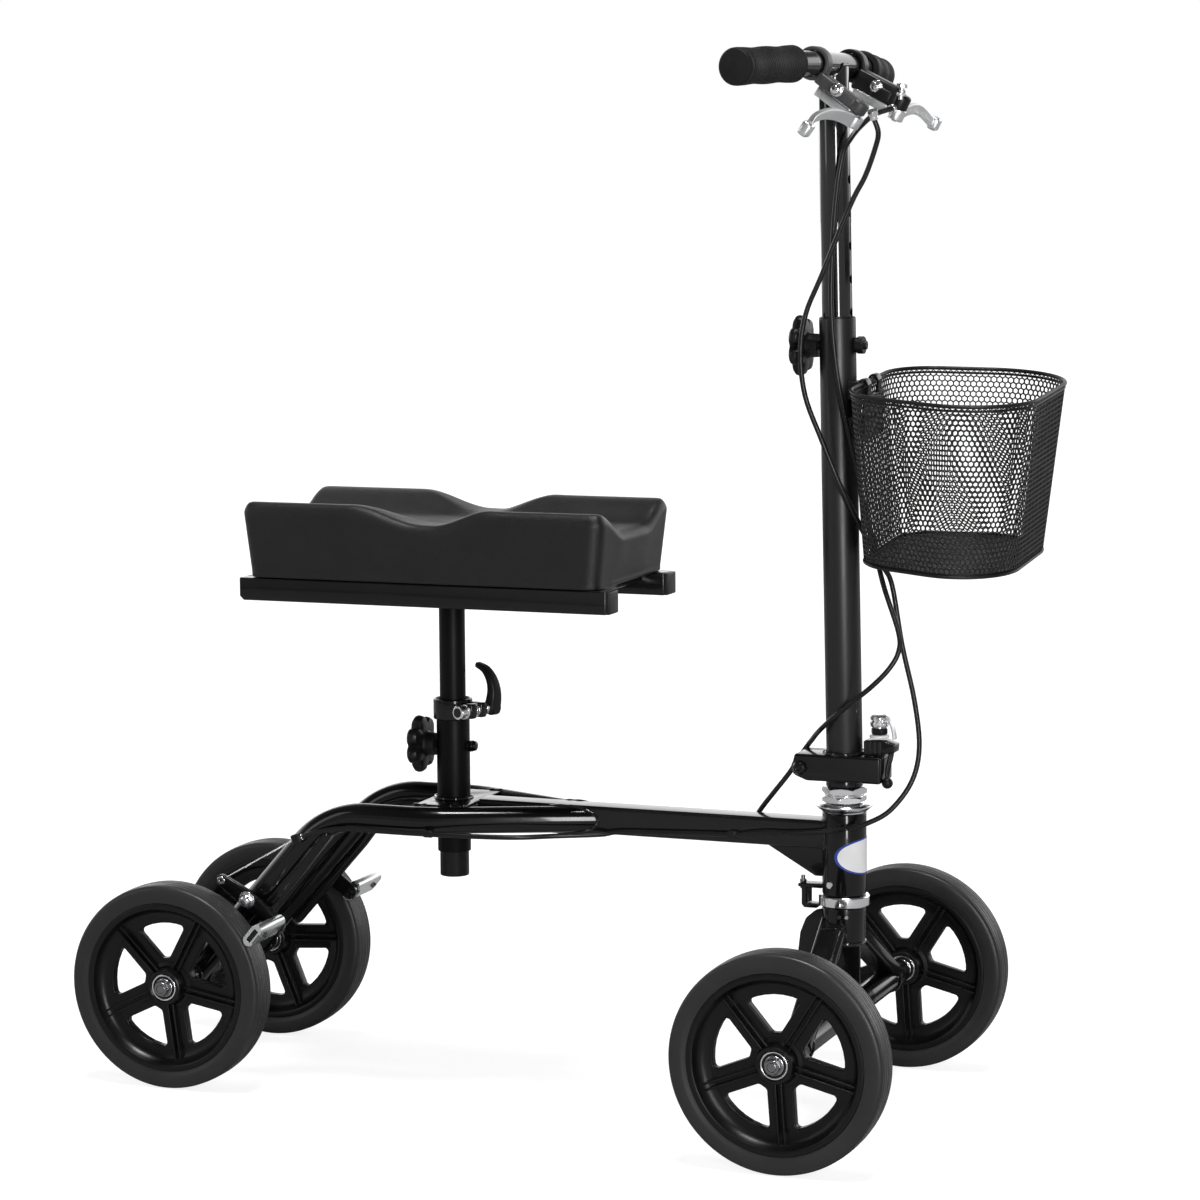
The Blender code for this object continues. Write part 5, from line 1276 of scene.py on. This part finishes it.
def basket():
    depth = RIM_Z - FLOOR_Z
    columns = round(BASKET_LENGTHS[-1] / CELL)
    row_pitch = CELL * math.sqrt(3) / 2
    wall_cells = [((column + 0.5 * (row % 2)) * CELL, row * row_pitch)
                  for row in range(1, int(depth / row_pitch)) for column in range(columns)]
    wall = hexagons(wall_cells, lambda u, v: on_wall(u / (columns * CELL), v))
    floor_line = [p * BASKET_TAPER * 0.985 for p in BASKET_LINE]
    inner_line = [p * 0.972 for p in floor_line]
    floor_cells = [((column + 0.5 * (row % 2)) * CELL, row * row_pitch)
                   for row in range(-30, 31) for column in range(-20, 21)]
    floor_cells = [cell for cell in floor_cells if within(cell, inner_line)]
    bottom = hexagons(floor_cells, lambda u, v: Vector((u, v, -depth + 0.0008)))
    sheet = piece("basket_mesh", moved(joined(wall, bottom), BASKET_SET), COATED, "basket", ["basket"])
    thick = sheet.modifiers.new("wire", "SOLIDIFY")
    thick.thickness = 0.0009
    thick.offset = 0

    def wire(drop, size):
        points = [on_wall(i / WIRE_STEPS, drop) for i in range(WIRE_STEPS)]
        return sweep(points, size, circle((0, 0), 1.0, 14), loop=True)

    flange = [[p * s + Vector((0, 0, -depth + lift)) for p in floor_line[:-1]]
              for s, lift in ((1.0, 0.0035), (1.0, 0.0), (0.955, 0.0), (0.955, 0.001), (0.992, 0.001),
                              (0.992, 0.0035))]
    shapes = [wire(0.0, 0.0018), wire(0.004, 0.0011), wire(depth - 0.0006, 0.0015), loft(flange, loop=True)]
    piece("basket_wires", all_moved(shapes, BASKET_SET), COATED, "basket", sharp=60)
    hooks = []
    for y in (-0.016, 0.016):
        path = [(-0.0905, y, -0.042), (-0.0895, y, -0.006), (-0.0875, y, 0.0028), (-0.083, y, 0.0036),
                (-0.08, y, -0.001), (-0.0815, y, -0.048)]
        hooks.append(sweep(rounded(path, 0.003, 4), (0.0012, 0.0062), SQUARE, up=(0, 1, 0)))
    plate = block((-0.0812, -0.03, -0.052), (-0.0792, 0.03, -0.012), 0.0006)
    slots = [block((-0.083, -0.024 + 0.012 * i, -0.033), (-0.077, -0.018 + 0.012 * i, -0.029), 0.0004)
             for i in range(5)]
    piece("basket_hook_plate", all_moved([carved(plate, *slots), *hooks], BASKET_SET), PAINT,
          "basket")


# ---------------------------------------------------------------- cables
LEFT_CABLE = [(0.6745, 0.043, 0.934), (0.666, 0.02, 0.929), (0.66, 0.004, 0.921),
              (0.653, -0.012, 0.908), (0.647, -0.021, 0.89), (0.641, -0.024, 0.84), (0.638, -0.0245, 0.762),
              (0.644, -0.0245, 0.694), (0.659, -0.02, 0.617), (0.6655, -0.006, 0.566),
              (0.6695, 0.011, 0.534), (0.6742, 0.0085, 0.516), (0.6818, 0.001, 0.497),
              (0.6966, -0.004, 0.4583), (0.698, -0.0095, 0.441), (0.6901, -0.015, 0.4253),
              (0.675, -0.02, 0.409), (0.6539, -0.0218, 0.3916), (0.6315, -0.02, 0.3721),
              (0.6165, 0.001, 0.3598), (0.608, 0.015, 0.352), (0.601, 0.0235, 0.345),
              (0.5935, 0.0245, 0.3345), (0.5829, 0.0235, 0.3178), (0.5712, 0.02, 0.302),
              (0.5597, 0.0188, 0.2872), (0.5525, 0.018, 0.2764),
              (0.547, 0.0178, 0.2655)]
RIGHT_CABLE = [(0.6835, -0.043, 0.924), (0.6865, -0.04, 0.912), (0.683, -0.037, 0.899),
               (0.673, -0.0345, 0.874), (0.659, -0.034, 0.848), (0.632, -0.034, 0.785),
               (0.617, -0.034, 0.75), (0.612, -0.034, 0.715), (0.616, -0.033, 0.676),
               (0.631, -0.031, 0.636), (0.647, -0.026, 0.595), (0.66, -0.014, 0.562),
               (0.6685, 0.002, 0.535), (0.6802, 0.0052, 0.516), (0.6862, 0.011, 0.4985),
               (0.696, 0.01, 0.445), (0.7084, 0.008, 0.3945), (0.7144, 0.004, 0.3521),
               (0.7096, -0.004, 0.321), (0.6923, -0.014, 0.2951), (0.6731, -0.021, 0.2832),
               (0.6588, -0.0245, 0.2792), (0.6454, -0.0245, 0.2758), (0.6302, -0.0222, 0.2727),
               (0.6127, -0.019, 0.2703), (0.5919, -0.0178, 0.2686), (0.5675, -0.0178, 0.2676),
               (0.545, -0.0178, 0.2636)]
LOWER_CABLE = [(0.545, 0.0178, 0.2636), (0.5, 0.0178, 0.262), (0.43, 0.018, 0.259),
               (0.41, 0.0215, 0.256), (0.372, 0.04, 0.2555), (0.333, 0.064, 0.256), (0.263, 0.0765, 0.2565),
               (0.2, 0.0775, 0.2565), (0.165, 0.0785, 0.2565), (0.14, 0.0805, 0.2515),
               (0.118, 0.082, 0.2435)]
# the points at which a cable passes from the column to the fork, and from the fork to the frame
CABLE_SPLITS = {"left": (14, 20), "right": (15, 18)}


def cables():
    """Each cable in runs: stem to column, column to fork, fork to frame; then its fixed run."""
    for side, points in (("left", LEFT_CABLE), ("right", RIGHT_CABLE)):
        steps = 6
        path = smooth(points, steps)
        first, second = (index * steps for index in CABLE_SPLITS[side])
        runs = [(path[:first + 1], "stem", "column"), (path[first:second + 1], "column", "fork"),
                (path[second:], "fork", "frame")]
        for number, (run, upper, lower) in enumerate(runs):
            stands_for = [f"brake_cable_{side}_upper"] if number == 0 else []
            piece(f"brake_cable_{side}_run_{number}",
                  sweep(run, CABLE_RADIUS, circle((0, 0), 1.0, 16), bulge=0),
                  SKIN, (upper, lower, run[0], run[-1]), stands_for, sharp=60)
    for side, sign in SIDES:
        points = [(x, sign * y, z) for x, y, z in LOWER_CABLE]
        piece(f"brake_cable_{side}_frame_run",
              sweep(smooth(points, 6), CABLE_RADIUS, circle((0, 0), 1.0, 16)), SKIN,
              "frame", [f"brake_cable_{side}_lower"], sharp=60)
        end, before = Vector(points[-1]), Vector(points[-2])
        way = (end - before).normalized()
        ferrule = [moved(tube(0.0034, 0.0008, -0.01, 0.002, 0.0006, 40), aimed(end, way)),
                   moved(nut(0.0044, 0.004), aimed(end, way) @ at(0, 0, -0.005))]
        piece(f"cable_ferrule_{side}", ferrule, CHROME, "frame")
        target = Vector(CRANK_PIN) * Vector((1, sign, 1))
        wire = [end.lerp(target, i / 12) for i in range(13)]
        piece(f"brake_inner_wire_{side}", sweep(wire, 0.0009, circle((0, 0), 1.0, 12)), CHROME,
              ("frame", f"rear_brake_{side}", end, target))
        clips = [moved(block((-0.0045, -0.0034, -0.0034), (0.0045, 0.0034, 0.0034), 0.0012),
                       at(x, sign * y, z))
                 for x, y, z in ((0.54, 0.0172, 0.2634), (0.256, 0.0752, 0.2568))]
        lug = moved(block((-0.005, -0.006, -0.0045), (0.005, 0.004, 0.0045), 0.0012),
                    aimed(end - way * 0.004, way, "X"))
        piece(f"cable_clips_{side}", [*clips, lug], PLASTIC, "frame")


# ---------------------------------------------------------------- studio
VIEW_AZIMUTH = math.radians(21.0802)
VIEW_HEIGHT = math.radians(7.1415)
VIEW_ROLL = math.radians(-0.3745)
VIEW_PLACE = (1.241, -3.1298, 0.89635)
FOCAL_LENGTH = 107.39
FLOOR_SHOWN = 0.85       # the floor's own light, as the camera sees it
FLOOR_MIRRORED = 0.36    # how pale the floor is to everything else
SKY_FLOOR = 0.04
# name, place, size and power of each soft lamp; all point at AIM
AIM = Vector((0, 0, 0.45))
LAMPS = (("key", (-2.6, -2.2, 1.7), (0.8, 2.2), 9),
         ("strip", (1.68, -2.49, 0.85), (0.4, 1.7), 42),
         ("rear", (-2.4, 2.6, 1.6), (1.0, 2.2), 7),
         ("far", (2.2, 2.8, 1.5), (1.0, 2.0), 7))


def floor_finish():
    """A pale floor; what its neighbours mirror of it is dimmer than what the camera sees."""
    made = look("pale_floor", "floor", (0.3, 0.3, 0.3), 0.9, grain=(40, 0.01), lift=0.01)
    tree = made.node_tree
    shown = tree.nodes["Principled BSDF"]
    set_sockets(shown, Emission_Color=(1, 1, 1, 1), Emission_Strength=FLOOR_SHOWN)
    dim = new_node(tree, "BsdfDiffuse", Color=(FLOOR_MIRRORED, FLOOR_MIRRORED, FLOOR_MIRRORED, 1))
    by_ray(tree, dim.outputs["BSDF"], shown.outputs["BSDF"], tree.nodes["Material Output"])
    return made


def by_ray(tree, for_others, for_camera, output):
    """Ends a tree in one shader for camera rays and another for every other ray."""
    rays, mix = new_node(tree, "LightPath"), new_node(tree, "MixShader")
    for i, source in enumerate((rays.outputs["Is Camera Ray"], for_others, for_camera)):
        tree.links.new(source, mix.inputs[i])
    tree.links.new(mix.outputs["Shader"], output.inputs["Surface"])


def sky():
    """White for the camera; for the object, dim but for a white sheet standing behind it."""
    world = bpy.data.worlds.new("studio")
    bpy.context.scene.world = world
    world.use_nodes = True
    tree = world.node_tree
    link = tree.links.new
    backdrop, around = tree.nodes["Background"], new_node(tree, "Background")
    for lit in (backdrop, around):
        set_sockets(lit, Color=(1, 1, 1, 1))
    where, split = new_node(tree, "TexCoord"), new_node(tree, "SeparateXYZ")
    link(where.outputs["Generated"], split.inputs["Vector"])
    behind = new_node(tree, "VectorMath")
    behind.operation = "DOT_PRODUCT"
    behind.inputs[1].default_value = (-math.sin(VIEW_AZIMUTH), math.cos(VIEW_AZIMUTH), 0)
    link(where.outputs["Generated"], behind.inputs[0])
    total = None
    for source, low, high, start, end in ((behind.outputs["Value"], 0.1, 0.55, 0.22, 1.5),
                                          (split.outputs["Z"], 0.0, 0.05, 0.0, 1.0),
                                          (split.outputs["Z"], 0.3, 0.45, 1.0, 0.05)):
        ramp = new_node(tree, "MapRange", From_Min=low, From_Max=high, To_Min=start, To_Max=end)
        link(source, ramp.inputs["Value"])
        total = combined(tree, "MULTIPLY", total, ramp.outputs["Result"]) if total else ramp.outputs["Result"]
    total = combined(tree, "ADD", total, SKY_FLOOR)
    link(total, around.inputs["Strength"])
    by_ray(tree, around.outputs["Background"], backdrop.outputs["Background"], tree.nodes["World Output"])


def combined(tree, operation, first, second):
    """The sum or product of a socket and another socket or a number."""
    made = new_node(tree, "Math")
    made.operation = operation
    tree.links.new(first, made.inputs[0])
    if isinstance(second, float):
        made.inputs[1].default_value = second
    else:
        tree.links.new(second, made.inputs[1])
    return made.outputs["Value"]


def studio():
    floor = in_scene("floor", block((-40, -40, -0.02), (40, 40, 0), 0.001))
    floor.location = (0, 0, BASE.z)
    floor.data.materials.append(floor_finish())
    sky()
    overhead = bpy.data.lights.new("overhead", "SUN")
    overhead.energy = 2.6
    overhead.angle = math.radians(16)
    in_scene("overhead", overhead).rotation_euler = (math.radians(8), math.radians(6), 0)
    for name, place, size, power in LAMPS:
        lamp = bpy.data.lights.new(name, "AREA")
        lamp.shape = "RECTANGLE"
        lamp.size, lamp.size_y = size
        lamp.energy = power
        made = in_scene(name, lamp)
        made.visible_camera = False
        made.location = place
        made.rotation_mode = "QUATERNION"
        made.rotation_quaternion = (AIM - Vector(place)).to_track_quat("-Z", "Y")


def camera():
    """The camera stands to the right of the scooter and a little ahead, just above the seat."""
    level = Vector((math.sin(VIEW_AZIMUTH), -math.cos(VIEW_AZIMUTH), 0))
    back = level * math.cos(VIEW_HEIGHT) + Vector((0, 0, math.sin(VIEW_HEIGHT)))
    right = Vector((math.cos(VIEW_AZIMUTH), math.sin(VIEW_AZIMUTH), 0))
    up = back.cross(right)
    turned_right = right * math.cos(VIEW_ROLL) + up * math.sin(VIEW_ROLL)
    turned_up = up * math.cos(VIEW_ROLL) - right * math.sin(VIEW_ROLL)
    lens = bpy.data.cameras.new("camera")
    lens.sensor_width = 36
    lens.lens = FOCAL_LENGTH
    lens.clip_end = 50
    made = in_scene("camera", lens)
    made.matrix_world = Matrix((turned_right, turned_up, back)).transposed().to_4x4()
    made.location = VIEW_PLACE
    bpy.context.scene.camera = made


# ---------------------------------------------------------------- assembly
wheels()
axle("rear_axle_bolt", "rear_axle", 0, 0.23, "frame")
axle("front_axle_bolt", "front_axle", AXLE_X, 0.4, "fork")
beam()
head_set()
side_tubes()
seat_tube()
hand_knob("seat_hand_knob", "seat_knob", "seat_knob", (SEAT_X - SEAT_TUBE_RADIUS - GAP, 0, SEAT_KNOB_Z),
          0.003)
knee_pad()
seat()
rear_brakes()
fork()
steerer()
fold_channel()
latch()
column()
hand_knob("stem_hand_knob", "stem_knob", "stem_knob",
          tuple(COLUMN @ Vector((-COLUMN_RADIUS - GAP, 0, STEM_KNOB))), 0.0015)
stem()
basket()
cables()
studio()
camera()
bpy.context.scene.view_settings.view_transform = "Standard"
bpy.context.view_layer.update()
